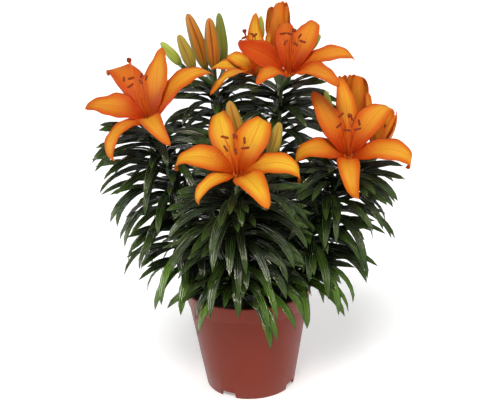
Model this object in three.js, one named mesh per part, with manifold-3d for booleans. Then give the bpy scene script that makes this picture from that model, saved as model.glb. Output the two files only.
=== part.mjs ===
// A potted Asiatic lily: five leafy stems from five bulbs in one plastic nursery pot, with open
// blooms, half-open blooms and buds. Millimetres, +Z up, the origin is the centre of the pot's foot,
// and the plant is seen from the front along +Y.
import * as THREE from 'three';
import { mergeVertices } from 'three/addons/utils/BufferGeometryUtils.js';
import Module from 'manifold-3d';

// Driving dimensions

const SEAT = 0.3; // clearance between two pieces that touch

const POT = {
  height: 116,
  rimRadius: 70,
  footRadius: 51,
  wall: 1.8,
  bandHeight: 18, // the stiffened band under the rim
  bandStep: 0.9, // how far the band stands proud of the wall
  lip: 2.8, // wall thickness at the rim
  floorTop: 9,
  floorUnder: 7, // the floor stands on a skirt
  middleFoot: 9, // and on a foot in the middle
  sides: 36,
  notchWidth: 17,
  notchHeight: 6.5,
  notchTurns: [-120, -30, 60, 150],
  drainRadius: 5,
  drainRing: 34,
};

const SOIL = { top: 102, bump: 2, rings: 2, sides: 18 };

const BULB = { bottom: 22, height: 40, radius: 16.5 };

const STEM = { baseRadius: 4.6, topRadius: 3.4, sides: 6, leavesPerRing: 3 };

const LEAF = {
  width: 13.5,
  thickness: 1.1,
  channel: 0.16, // how far the edges rise above the midrib, as a share of the half width
  stations: [0.11, 0.4, 0.72],
  goldenTurn: 137.5,
  roomToOthers: 2.8, // distance kept between sample points of two plants
  roomToOwn: 2, // and between those of two leaves on one stem
  roomFrom: 0.07, // the share of its length from which a leaf keeps room
  samplesAlong: 30,
  samplesAcross: [-1, -0.6, -0.2, 0.2, 0.6, 1],
  tries: 21,
};

const TEPAL = { length: 78, thickness: 1.2, stations: [0, 0.16, 0.36, 0.6, 0.84] };

// The two rows of three tepals, in a bloom that is open and in one that is half open. channel is
// how far the edges rise above the middle, as a share of the half width, and foot where the row is
// sunk in the cup: its distance from the axis and its height. reach, lean and spread are the share
// of length of the stamens and how they leave the axis.
const OPEN = {
  reach: 1, lean: 5, spread: 13,
  inner: { width: 28, share: 1, cup: -3, flare: 1, channel: 0.3, foot: [4.2, 3.3] },
  outer: { width: 22, share: 1, cup: 3, flare: 1, channel: 0, foot: [3, 1.5] },
};
const HALF_OPEN = {
  reach: 0.84, lean: 2, spread: 2,
  inner: { width: 19, share: 0.86, cup: -9, flare: 0.6, channel: 0.4, foot: [4.2, 3.3] },
  outer: { width: 26, share: 1, cup: 3, flare: 1, channel: 0.5, foot: [3, 1.5] },
};

const CUP = { height: 4, footRadius: 3.2, topRadius: 5.6 };
const PISTIL = {
  length: 62,
  footRadius: 3.9,
  footHeight: 1.4,
  ovaryLength: 15,
  ovaryRadius: 1.6,
  styleRadius: 0.9,
  stigmaRadius: 2.1,
};
const FILAMENT = { length: 50, radius: 0.75, ring: 2.6 };
const ANTHER = { length: 6.5, radius: 1.2 };
const STALK = { radius: 2.1, endRadius: 2.6, sides: 5 };

// The five plants. Each stem bends from its bulb to its top along four control points.
const PLANTS = [
  {
    name: 'left',
    path: [[-33, -3, 60], [-36, -4, 150], [-74, -10, 230], [-92, -15, 290]],
    bare: 28, // stem above the soil before the first leaf
    leaves: 75,
    leafLength: 98,
    turn: 20,
  },
  {
    name: 'back_left',
    path: [[-12, 31, 60], [-12, 34, 160], [-22, 48, 250], [-29, 57, 328]],
    bare: 12,
    leaves: 72,
    leafLength: 94,
    turn: 75,
  },
  {
    name: 'back_right',
    path: [[27, 25, 60], [27, 25, 150], [34, 26, 240], [40, 23, 328]],
    bare: 12,
    leaves: 84,
    leafLength: 96,
    turn: 140,
  },
  {
    name: 'front',
    path: [[-9, -33, 60], [-9, -34, 140], [-9, -66, 200], [-7, -80, 250]],
    bare: 5,
    leaves: 93,
    leafLength: 98,
    turn: 250,
  },
  {
    name: 'right',
    path: [[32, -11, 60], [36, -12, 140], [82, -18, 200], [106, -19, 250]],
    bare: 10,
    leaves: 96,
    leafLength: 98,
    turn: 305,
  },
];

// Blooms. base is where the bloom sits on its stalk and faces the way the throat looks. cup, flare
// and curl are the degrees by which a tepal leaves the axis, opens and turns back at its tip. Each
// tepal has its own turn about the axis, anticlockwise from the right seen from the front, and may
// have its own share of the length, change of flare and curl, sideways bend, twist, share of the
// width and hook, which turns down only its tip.
const BLOOMS = [
  {
    name: 'left',
    plant: 'left',
    base: [-92.5, -30, 306],
    faces: [-0.17, -0.45, 0.88],
    size: 0.99,
    pistil: 1.2,
    cup: 36, flare: 46, curl: 60,
    tepals: [
      { turn: 35, share: 1.19, flare: 4, curl: 9, bend: -9, wide: 1.3 },
      { turn: 61, share: 0.96, flare: -2, curl: -63, bend: 19 },
      { turn: 104, share: 1.33, flare: 18, curl: -6, bend: 33, wide: 1.3 },
      { turn: 175, share: 0.88, flare: 37, curl: -86, bend: -13, wide: 1.3, hook: 40 },
      { turn: 233, share: 1.09, flare: 16, curl: 61, bend: 4, wide: 0.87 },
      { turn: 275, share: 1.03, flare: 13, curl: -7, bend: 34, wide: 0.81 },
    ],
  },
  {
    name: 'top_front',
    plant: 'back_right',
    base: [49, 4, 344],
    faces: [0.05, -0.6, 0.8],
    size: 0.94,
    cup: 32, flare: 50, curl: 45,
    tepals: [
      { turn: 10, share: 1.09, flare: 4, curl: 27, bend: -8, wide: 1.09 },
      { turn: 49, share: 0.92, flare: 7, curl: -2, bend: 25 },
      { turn: 107, flare: 15, curl: 18, bend: -34, wide: 1.04 },
      { turn: 183, share: 0.95, flare: 1, curl: -77, bend: 7, twist: -45, wide: 1.12 },
      { turn: 225, share: 1.03, flare: -26, curl: -2, bend: 17 },
      { turn: 310, flare: 3, curl: -9, bend: 5 },
    ],
  },
  {
    name: 'top_left',
    plant: 'back_right',
    base: [19, 44, 339],
    faces: [-0.26, -0.4, 0.88],
    size: 0.87,
    cup: 34, flare: 46, curl: 48,
    tepals: [
      { turn: 81, share: 1.04, flare: -34, curl: -11, bend: -4, twist: 60 },
      { turn: 150, share: 0.56, flare: -24, curl: -1, bend: 3 },
      { turn: 170, share: 0.84, flare: 6, curl: -3, bend: -4 },
      { turn: 238, share: 1.13, flare: 25, curl: -27, bend: -18, wide: 0.71 },
      { turn: 298, share: 0.69, flare: -35, curl: -53, bend: -3 },
      { turn: 378, share: 0.73, flare: -46, curl: -63, bend: 4 },
    ],
  },
  {
    name: 'front',
    plant: 'front',
    base: [-6.5, -76, 260.5],
    faces: [-0.02, -0.66, 0.75],
    size: 0.98,
    cup: 33, flare: 55, curl: 75,
    tepals: [
      { turn: 1, share: 1.05, flare: -4, curl: 57, bend: -22, wide: 1.16 },
      { turn: 50, share: 0.9, flare: 10, curl: -10, bend: 26, wide: 1.22 },
      { turn: 125, flare: 11, curl: -19, bend: -46, wide: 1.26 },
      { turn: 164, share: 0.95, flare: 19, curl: -36, bend: 26, wide: 0.93, hook: 110 },
      { turn: 212, share: 0.87, curl: 42, bend: 16, wide: 0.7 },
      { turn: 294, flare: -12, curl: -27, bend: 1 },
    ],
  },
  {
    name: 'right_front',
    plant: 'right',
    base: [106.5, -30, 263],
    faces: [-0.07, -0.61, 0.79],
    size: 1.01,
    cup: 34, flare: 50, curl: 62,
    tepals: [
      { turn: -17, share: 1.08, flare: -2, curl: 40, bend: -10, wide: 1.29, hook: 70 },
      { turn: 46, flare: 6, curl: 16, bend: -6 },
      { turn: 82, share: 1.08, flare: -12, curl: -47, bend: 18 },
      { turn: 134, share: 0.95, flare: -10, curl: -32, bend: -28, wide: 0.94 },
      { turn: 172, share: 0.93, flare: 14, curl: 64, bend: 26, wide: 1.19 },
      { turn: 255, flare: 5, curl: 21, bend: 28, wide: 0.79, hook: 50 },
    ],
  },
  {
    name: 'right_back',
    plant: 'right',
    base: [144, 24, 252.5],
    faces: [0.17, -0.03, 0.99],
    size: 0.67,
    cup: 26, flare: -26, curl: 14,
    half: true,
    tepals: [
      { turn: -9, curl: -41, bend: -6 },
      { turn: 56, share: 1.05, flare: 3, bend: -7 },
      { turn: 130, share: 1.26, flare: 12, curl: -14 },
      { turn: 180 },
      { turn: 240 },
      { turn: 299, share: 1.03, bend: 7 },
    ],
  },
  {
    name: 'top_opening',
    plant: 'back_right',
    base: [40.5, 65, 358],
    faces: [0.06, -0.04, 1],
    size: 0.74,
    cup: 26, flare: -52, curl: 4,
    half: true,
    tepals: [
      { turn: 20 },
      { turn: 80, share: 1.1, curl: 9, bend: -4 },
      { turn: 129, share: 0.9, flare: 17, curl: -13, bend: 6, wide: 1.09 },
      { turn: 200, flare: -3, curl: 5 },
      { turn: 258 },
      { turn: 321, share: 1.04, flare: 5 },
    ],
  },
  {
    name: 'right_opening',
    plant: 'right',
    base: [122, 54, 280],
    faces: [0.05, -0.04, 1],
    size: 0.79,
    cup: 29, flare: -50, curl: -8,
    half: true,
    tepals: [
      { turn: 35, share: 0.9, flare: 10, curl: -26, bend: -9 },
      { turn: 87, bend: 3 },
      { turn: 139, share: 0.9, flare: 7, curl: 5, bend: 8, wide: 1.05 },
      { turn: 210, share: 1.03 },
      { turn: 273, share: 0.94, curl: 12 },
      { turn: 329, curl: -5 },
    ],
  },
];

// Buds: base, tip and greatest radius.
const BUDS = [
  { name: 'left_1', plant: 'back_left', base: [-66, 56, 352], tip: [-86, 54, 377], radius: 6 },
  { name: 'left_2', plant: 'back_left', base: [-52, 50, 347], tip: [-66, 47, 385], radius: 7.5 },
  { name: 'left_3', plant: 'back_left', base: [-40, 72, 345], tip: [-57, 72, 405], radius: 9 },
  { name: 'left_4', plant: 'back_left', base: [-30, 59, 346], tip: [-33, 56, 401], radius: 9 },
  { name: 'left_5', plant: 'back_left', base: [-20, 78, 346], tip: [-23, 84, 404], radius: 7 },
  { name: 'front_1', plant: 'front', base: [-3, -42, 272], tip: [-13, -44, 328], radius: 9.5 },
  { name: 'front_2', plant: 'front', base: [25, -50, 272], tip: [36, -48, 306], radius: 7.5 },
  { name: 'right_1', plant: 'right', base: [92, -2, 300], tip: [86, 0, 328], radius: 4.5 },
  { name: 'top_1', plant: 'back_right', base: [23, 76, 374], tip: [23, 78, 400], radius: 4 },
  { name: 'top_2', plant: 'back_right', base: [70, 50, 362], tip: [86, 52, 380], radius: 5 },
];

const COLOURS = {
  pot: 0x8a4032,
  soil: 0x1d1612,
  plant: 0x27421c,
  tepals: 0xe8741c,
  stamens: 0xb2401c,
  bud: 0x9a9a34,
};

const wasm = await Module();
wasm.setup();

// Small helpers

const UP = new THREE.Vector3(0, 0, 1);
const radians = THREE.MathUtils.degToRad;
const vector = (p) => new THREE.Vector3(p[0], p[1], p[2]);
const mix = THREE.MathUtils.lerp;

// A fixed, even scatter of values between -reach and reach.
function scatter(index, salt, reach) {
  const wide = Math.sin(index * 12.9898 + salt * 78.233) * 43758.5453;
  return (2 * (wide - Math.floor(wide)) - 1) * reach;
}

// The place on a bend with four control points, and the way along it.
function onBend(path, s) {
  const [a, b, c, d] = path.map(vector);
  const r = 1 - s;
  const place = a.clone().multiplyScalar(r * r * r).addScaledVector(b, 3 * r * r * s)
    .addScaledVector(c, 3 * r * s * s).addScaledVector(d, s * s * s);
  const along = b.clone().sub(a).multiplyScalar(r * r).addScaledVector(c.clone().sub(b), 2 * r * s)
    .addScaledVector(d.clone().sub(c), s * s).normalize();
  return { place, along };
}

// Two unit vectors square to an axis, the first one as near to +X as can be.
function squareTo(axis) {
  const across = new THREE.Vector3(1, 0, 0).addScaledVector(axis, -axis.x).normalize();
  return [across, new THREE.Vector3().crossVectors(axis, across)];
}

// A regular ring of points round a centre, square to an axis.
function ringAt(centre, axis, radius, sides, turn = 0) {
  const [across, up] = squareTo(axis);
  return Array.from({ length: sides }, (_, i) => {
    const angle = radians((i / sides) * 360 + turn);
    return centre.clone()
      .addScaledVector(across, Math.cos(angle) * radius)
      .addScaledVector(up, Math.sin(angle) * radius);
  });
}

// A closed skin, built up from rings of points. Rings run anticlockwise seen from the far end.
class Skin {
  constructor() {
    this.points = [];
    this.faces = [];
  }

  ring(points) {
    return points.map((p) => this.points.push(p) - 1);
  }

  // The wall between two rings of as many points. Either of them may be a single tip instead. A
  // blade has its first point below, and is split into triangles alike on both faces.
  wall(near, far) {
    const count = Math.max(near.length, far.length);
    for (let i = 0; i < count; i++) {
      const j = (i + 1) % count;
      const below = i === 0 || j === 0;
      if (near.length === 1) this.faces.push([near[0], far[j], far[i]]);
      else if (far.length === 1) this.faces.push([near[i], near[j], far[0]]);
      else if (below) this.faces.push([near[i], near[j], far[i]], [near[j], far[j], far[i]]);
      else this.faces.push([near[i], far[j], far[i]], [near[i], near[j], far[j]]);
    }
  }

  closeStart(ring) {
    for (let i = 1; i + 1 < ring.length; i++) this.faces.push([ring[0], ring[i + 1], ring[i]]);
  }

  closeEnd(ring) {
    for (let i = 1; i + 1 < ring.length; i++) this.faces.push([ring[0], ring[i], ring[i + 1]]);
  }

  // Grows a row of rings out of a ring that is already there.
  grow(root, rings) {
    let near = root;
    for (const points of rings) {
      const far = this.ring(points);
      this.wall(near, far);
      near = far;
    }
    return near;
  }

  geometry() {
    const geometry = new THREE.BufferGeometry().setFromPoints(this.points);
    geometry.setIndex(this.faces.flat());
    return geometry;
  }
}

// A closed solid through rings of points. An end ring of one point is a tip.
function loft(rings) {
  const skin = new Skin();
  const root = skin.ring(rings[0]);
  skin.closeStart(root);
  skin.closeEnd(skin.grow(root, rings.slice(1)));
  return skin.geometry();
}

function solid(geometry) {
  const bare = geometry.clone();
  for (const name of Object.keys(bare.attributes)) if (name !== 'position') bare.deleteAttribute(name);
  const merged = mergeVertices(bare, 1e-4);
  return new wasm.Manifold(new wasm.Mesh({
    numProp: 3,
    vertProperties: new Float32Array(merged.attributes.position.array),
    triVerts: new Uint32Array(merged.index.array),
  }));
}

const join = (geometries) => wasm.Manifold.union(geometries.map(solid));

function geometryOf(manifold) {
  const mesh = manifold.getMesh();
  const geometry = new THREE.BufferGeometry();
  geometry.setAttribute('position', new THREE.BufferAttribute(new Float32Array(mesh.vertProperties), 3));
  geometry.setIndex(new THREE.BufferAttribute(new Uint32Array(mesh.triVerts), 1));
  geometry.computeVertexNormals();
  return geometry;
}

// Pot

const wallRadius = (z) => POT.footRadius + ((POT.rimRadius - POT.footRadius) * z) / POT.height;
const innerRadius = (z) => wallRadius(z) - POT.wall - POT.bandStep;

function pot() {
  const bandFoot = POT.height - POT.bandHeight;
  const profile = [
    [0, 0],
    [POT.middleFoot, 0],
    [POT.middleFoot + 1, POT.floorUnder],
    [innerRadius(0) - 1, POT.floorUnder],
    [innerRadius(0), 0],
    [wallRadius(0) - POT.bandStep, 0],
    [wallRadius(bandFoot) - POT.bandStep, bandFoot],
    [wallRadius(bandFoot) + 0.2, bandFoot + 0.8],
    [POT.rimRadius, POT.height - 0.8],
    [POT.rimRadius - 0.8, POT.height],
    [POT.rimRadius - POT.lip, POT.height],
    [innerRadius(POT.height - 6), POT.height - 6],
    [innerRadius(POT.floorTop), POT.floorTop],
    [0, POT.floorTop],
  ];
  const shell = new THREE.LatheGeometry(profile.map(([r, z]) => new THREE.Vector2(r, z)), POT.sides);
  shell.rotateX(Math.PI / 2);
  const cuts = [];
  for (const turn of POT.notchTurns) {
    const notch = new THREE.BoxGeometry(24, POT.notchWidth, 2 * POT.notchHeight);
    notch.translate(POT.footRadius, 0, 0);
    notch.rotateZ(radians(turn));
    const drain = new THREE.CylinderGeometry(POT.drainRadius, POT.drainRadius, 12, 8);
    drain.rotateX(Math.PI / 2);
    drain.translate(POT.drainRing, 0, POT.floorTop - 1);
    drain.rotateZ(radians(turn));
    cuts.push(notch, drain);
  }
  return solid(shell).subtract(join(cuts));
}

// Stems

// How far up its bend a stem passes a height.
function shareAtHeight(plant, height) {
  let [low, high] = [0, 1];
  for (let i = 0; i < 30; i++) {
    const middle = (low + high) / 2;
    if (onBend(plant.path, middle).place.z < height) low = middle;
    else high = middle;
  }
  return low;
}

const leafShare = (plant, ring) => mix(plant.firstLeaf, 1, ring / plant.leafRings);

for (const plant of PLANTS) {
  plant.firstLeaf = shareAtHeight(plant, SOIL.top + plant.bare);
  plant.leafRings = Math.ceil(plant.leaves / STEM.leavesPerRing);
}

// Rings from the foot of the bulb to the top of the stem, grown all round by a clearance.
function stemRings(plant, grown) {
  const [x, y] = plant.path[0];
  const outline = [[0.3, 0], [0.85, 0.2], [1, 0.42], [0.72, 0.72]];
  const spare = grown / Math.cos(Math.PI / STEM.sides);
  const rings = outline.map(([r, z]) => ringAt(
    new THREE.Vector3(x, y, BULB.bottom + z * BULB.height - (z === 0 ? grown : 0)), UP,
    r * BULB.radius + spare, STEM.sides));
  const shares = [0, 0.5 * plant.firstLeaf];
  for (let r = 0; r <= plant.leafRings; r++) shares.push(leafShare(plant, r));
  for (const share of shares) {
    const { place, along } = onBend(plant.path, share);
    rings.push(ringAt(place, along, mix(STEM.baseRadius, STEM.topRadius, share) + spare, STEM.sides));
  }
  return rings;
}

// Soil, with a pocket that each bulb and stem foot stands in

function soil() {
  const innerAt = (z) => innerRadius(z) - SEAT;
  const bottom = POT.floorTop + SEAT;
  const fit = Math.cos(Math.PI / POT.sides);
  const level = (r, z) => ringAt(new THREE.Vector3(0, 0, z), UP, r, SOIL.sides);
  const body = [level(innerAt(bottom) * fit, bottom), level(innerAt(SOIL.top - 1) * fit, SOIL.top - 1)];
  for (let r = SOIL.rings; r >= 1; r--) {
    body.push(level((innerAt(SOIL.top) * 0.93 * r) / SOIL.rings, SOIL.top)
      .map((p, i) => p.setZ(SOIL.top + scatter(i, r, SOIL.bump))));
  }
  body.push([new THREE.Vector3(0, 0, SOIL.top)]);
  const pockets = PLANTS.map((plant) => {
    const rings = stemRings(plant, SEAT);
    const out = rings.findIndex((ring) => ring.every((p) => p.z > SOIL.top + SOIL.bump + 1));
    return loft(rings.slice(0, out + 1));
  });
  return solid(loft(body)).subtract(join(pockets));
}

// Leaves

// A leaf leaves its stem at a rise above the level, and droops along its length.
function leafFrame(leaf, s) {
  const steps = 12;
  const place = leaf.root.clone();
  const heading = (t) => [
    radians(leaf.rise - leaf.droop * Math.pow(t, 1.15)),
    radians(leaf.turn + leaf.sway * t),
  ];
  for (let i = 0; i < steps; i++) {
    const [rise, turn] = heading((s * (i + 0.5)) / steps);
    const step = (leaf.length * s) / steps;
    place.x += Math.cos(rise) * Math.cos(turn) * step;
    place.y += Math.cos(rise) * Math.sin(turn) * step;
    place.z += Math.sin(rise) * step;
  }
  const [rise, turn] = heading(s);
  const along = new THREE.Vector3(
    Math.cos(rise) * Math.cos(turn), Math.cos(rise) * Math.sin(turn), Math.sin(rise));
  const across = new THREE.Vector3(-Math.sin(turn), Math.cos(turn), 0)
    .applyAxisAngle(along, radians(leaf.roll));
  const upper = new THREE.Vector3().crossVectors(along, across);
  return { place, across, upper };
}

// Half the width of a lance-shaped leaf: a narrow foot, widest before the middle, a long point.
function leafHalfWidth(leaf, s) {
  return (leaf.width / 2) * 1.83 * Math.pow(s + 0.04, 0.5) * Math.pow(Math.max(1 - s, 0), 0.62);
}

function leafRings(leaf) {
  const rings = LEAF.stations.map((s) => {
    const { place, across, upper } = leafFrame(leaf, s);
    const half = leafHalfWidth(leaf, s);
    const rise = half * LEAF.channel;
    return [
      place.clone().addScaledVector(upper, -LEAF.thickness),
      place.clone().addScaledVector(across, half).addScaledVector(upper, rise),
      place.clone().addScaledVector(across, -half).addScaledVector(upper, rise),
    ];
  });
  rings.push([leafFrame(leaf, 1).place]);
  return rings;
}

// Points spread over a leaf as it is built, from one station to the next.
function leafSamples(leaf) {
  const stations = [LEAF.roomFrom, ...LEAF.stations, 1];
  const middles = stations.map((s) => leafFrame(leaf, s));
  const halves = stations.map((s) => leafHalfWidth(leaf, s));
  const points = [];
  for (let i = 0; i <= LEAF.samplesAlong; i++) {
    const s = mix(stations[0], 1, i / LEAF.samplesAlong);
    const k = Math.min(stations.findIndex((station) => station >= s - 1e-9) || 1, stations.length - 1);
    const t = (s - stations[k - 1]) / (stations[k] - stations[k - 1]);
    const middle = middles[k - 1].place.clone().lerp(middles[k].place, t);
    const across = middles[k - 1].across.clone().lerp(middles[k].across, t);
    const half = mix(halves[k - 1], halves[k], t);
    for (const side of LEAF.samplesAcross) points.push(middle.clone().addScaledVector(across, side * half));
  }
  return points;
}

// Room kept by the pieces: sample points with their owner, sorted into cubes.
class Room {
  constructor(cube) {
    this.cube = cube;
    this.cubes = new Map();
  }

  cellOf(p) {
    return [p.x, p.y, p.z].map((v) => Math.floor(v / this.cube));
  }

  take(owner, points) {
    for (const p of points) {
      const key = this.cellOf(p).join();
      if (!this.cubes.has(key)) this.cubes.set(key, []);
      this.cubes.get(key).push([owner, p]);
    }
  }

  isFree(owner, points) {
    return points.every((p) => {
      const [cx, cy, cz] = this.cellOf(p);
      for (let x = cx - 1; x <= cx + 1; x++) {
        for (let y = cy - 1; y <= cy + 1; y++) {
          for (let z = cz - 1; z <= cz + 1; z++) {
            for (const [other, q] of this.cubes.get([x, y, z].join()) || []) {
              const near = other === owner ? LEAF.roomToOwn : LEAF.roomToOthers;
              if (p.distanceTo(q) < near) return false;
            }
          }
        }
      }
      return true;
    });
  }
}

const room = new Room(LEAF.roomToOthers);

// The leaves of one stem, by a rule: even steps up the stem, a golden turn each, and lengths and
// bends that change from foot to top.
function leavesOf(plant) {
  const leaves = new Map();
  for (let i = 0; i < plant.leaves; i++) {
    const ring = Math.floor(i / STEM.leavesPerRing);
    const high = i / (plant.leaves - 1);
    const seed = i + plant.turn;
    const wanted = {
      turn: plant.turn + LEAF.goldenTurn * i + scatter(seed, 1, 12),
      rise: 32 - 30 * high + 22 * high * high + scatter(seed, 2, 8),
      droop: 112 - 50 * high * high + scatter(seed, 3, 12),
      sway: scatter(seed, 4, 18),
      roll: scatter(seed, 5, 16),
      length: plant.leafLength * (0.92 + 0.3 * high - 0.48 * high * high) * (1 + scatter(seed, 6, 0.08)),
      width: LEAF.width * (1 + scatter(seed, 8, 0.14)) * (1 - 0.15 * high),
    };
    const leaf = firstFree(plant, ring, wanted, leaves);
    if (leaf) {
      room.take(plant.name, leafSamples(leaf));
      leaves.set(`${ring},${leaf.side}`, leaf);
    }
  }
  return leaves;
}

// A leaf grows from one side of the stem, out of its left or right half, and no two leaves share a
// side between the same rings. A leaf that would cross something is turned aside or shortened, and
// left out if it finds no room.
function firstFree(plant, ring, wanted, leaves) {
  for (let k = 0; k < LEAF.tries; k++) {
    const aside = Math.ceil(k / 2) * (k % 2 === 0 ? 1 : -1);
    const turn = wanted.turn + 5 * aside;
    const half = Math.floor((((turn % 360) + 360) % 360) / (180 / STEM.sides));
    const side = Math.floor(half / 2);
    const right = half % 2;
    const leaf = {
      ...wanted,
      side,
      right,
      root: onBend(plant.path, leafShare(plant, ring + (right ? 1 / 3 : 2 / 3))).place,
      turn,
      rise: wanted.rise + 3 * aside,
      droop: wanted.droop - 3 * Math.abs(aside),
      length: wanted.length * (1 - 0.03 * Math.abs(aside)),
    };
    if (!leaves.has(`${ring},${side}`) && room.isFree(plant.name, leafSamples(leaf))) return leaf;
  }
  return null;
}

// Stalks from the top of a stem to its blooms and buds

function stalksOf(plant) {
  const ends = BLOOMS.filter((bloom) => bloom.plant === plant.name)
    .map((bloom) => [vector(bloom.base), vector(bloom.faces).normalize()]);
  for (const bud of BUDS.filter((one) => one.plant === plant.name)) {
    ends.push([vector(bud.base), vector(bud.tip).sub(vector(bud.base)).normalize()]);
  }
  const top = onBend(plant.path, 0.97).place;
  const rise = onBend(plant.path, 0.97).along;
  return ends.map(([base, axis]) => {
    const reach = base.distanceTo(top);
    const end = base.clone().addScaledVector(axis, -SEAT);
    const away = top.clone().addScaledVector(rise, 0.3 * reach);
    const into = end.clone().addScaledVector(axis, -0.3 * reach);
    return { path: [top, away, into, end].map((p) => p.toArray()), axis };
  });
}

function stalkSolid({ path, axis }) {
  const rings = [0, 0.35, 0.7].map((s) => {
    const { place, along } = onBend(path, s);
    return ringAt(place, along, STALK.radius, STALK.sides);
  });
  rings.push(ringAt(vector(path[3]), axis, STALK.endRadius, STALK.sides));
  return loft(rings);
}

// Bulb, stem, leaves and stalks of one plant, grown as one piece
function leafyPlant(plant) {
  const skin = new Skin();
  const rings = stemRings(plant, 0).map((ring) => skin.ring(ring));
  const first = rings.length - 1 - plant.leafRings;
  const leaves = leavesOf(plant);
  skin.closeStart(rings[0]);
  for (let r = 0; r + 1 < rings.length; r++) {
    for (let i = 0; i < STEM.sides; i++) {
      const j = (i + 1) % STEM.sides;
      const [a, b, c, d] = [rings[r][i], rings[r][j], rings[r + 1][j], rings[r + 1][i]];
      const leaf = leaves.get(`${r - first},${i}`);
      for (const [root, right] of [[[a, c, d], 0], [[b, c, a], 1]]) {
        if (leaf && leaf.right === right) skin.grow(root, leafRings(leaf));
        else skin.faces.push(root);
      }
    }
  }
  skin.closeEnd(rings[rings.length - 1]);
  return join([skin.geometry(), ...stalksOf(plant).map(stalkSolid)]);
}

// Open blooms

// A tepal leaves the axis of its bloom by the cup angle, opens by the flare and turns back at the tip.
function tepalFrame(bloom, tepal, s) {
  const axis = vector(bloom.faces).normalize();
  const [across0, up0] = squareTo(axis);
  const angle = radians(tepal.turn);
  const out = across0.clone().multiplyScalar(Math.cos(angle)).addScaledVector(up0, Math.sin(angle));
  const side = across0.clone().multiplyScalar(-Math.sin(angle)).addScaledVector(up0, Math.cos(angle));
  const lean = (t) => radians(
    tepal.cup + tepal.flare * t + tepal.curl * t * t * t + tepal.hook * Math.pow(t, 9),
  );
  const steps = 16;
  const place = vector(bloom.base)
    .addScaledVector(out, tepal.foot[0])
    .addScaledVector(axis, tepal.foot[1]);
  for (let i = 0; i < steps; i++) {
    const t = (s * (i + 0.5)) / steps;
    const step = (tepal.length * s) / steps;
    place.addScaledVector(axis, Math.cos(lean(t)) * step);
    place.addScaledVector(out, Math.sin(lean(t)) * step);
    place.addScaledVector(side, Math.sin(radians(tepal.bend * t)) * step);
  }
  const along = axis.clone().multiplyScalar(Math.cos(lean(s)))
    .addScaledVector(out, Math.sin(lean(s)))
    .addScaledVector(side, Math.sin(radians(tepal.bend * s))).normalize();
  const across = side.clone().addScaledVector(along, -side.dot(along)).normalize()
    .applyAxisAngle(along, radians(tepal.twist * s));
  const upper = new THREE.Vector3().crossVectors(along, across);
  return { place, across, upper };
}

function tepalHalfWidth(tepal, s) {
  return (tepal.width / 2) * Math.pow(Math.sin(Math.PI * Math.pow(0.03 + 0.96 * s, 0.94)), 0.95);
}

function tepalRings(bloom, tepal, index) {
  const rings = TEPAL.stations.map((s) => {
    const { place, across, upper } = tepalFrame(bloom, tepal, s);
    const half = tepalHalfWidth(tepal, s);
    const rise = half * tepal.channel * Math.min(1, 3 * s) * (1 - s * 0.8);
    const wave = 1.2 * Math.sin(11 * s + 2 * index) * Math.sin(Math.PI * s);
    return [
      place.clone().addScaledVector(upper, -TEPAL.thickness),
      place.clone().addScaledVector(across, half).addScaledVector(upper, rise + wave),
      place.clone(),
      place.clone().addScaledVector(across, -half).addScaledVector(upper, rise - wave),
    ];
  });
  rings.push([tepalFrame(bloom, tepal, 1).place]);
  return rings;
}

function tepalsOf(bloom) {
  const stage = bloom.half ? HALF_OPEN : OPEN;
  return bloom.tepals.map((own, i) => {
    const row = i % 2 === 1 ? stage.inner : stage.outer;
    return {
      turn: own.turn,
      length: TEPAL.length * bloom.size * row.share * (own.share || 1),
      width: row.width * bloom.size * (own.wide || 1),
      cup: bloom.cup + row.cup,
      flare: bloom.flare * row.flare + (own.flare || 0),
      curl: bloom.curl + (own.curl || 0),
      bend: own.bend || 0,
      twist: own.twist || 0,
      hook: own.hook || 0,
      channel: row.channel,
      foot: row.foot,
    };
  });
}

// Six tepals with their feet sunk in a small cup. Those that lap over each other are joined.
function bloomTepals(bloom) {
  const axis = vector(bloom.faces).normalize();
  const base = vector(bloom.base);
  const turn = bloom.tepals[0].turn + 30;
  const cup = loft([
    ringAt(base, axis, CUP.footRadius, 6, turn),
    ringAt(base.clone().addScaledVector(axis, CUP.height), axis, CUP.topRadius, 6, turn),
  ]);
  return join([cup, ...tepalsOf(bloom).map((tepal, i) => loft(tepalRings(bloom, tepal, i)))]);
}

// Stamens and pistil

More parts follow.
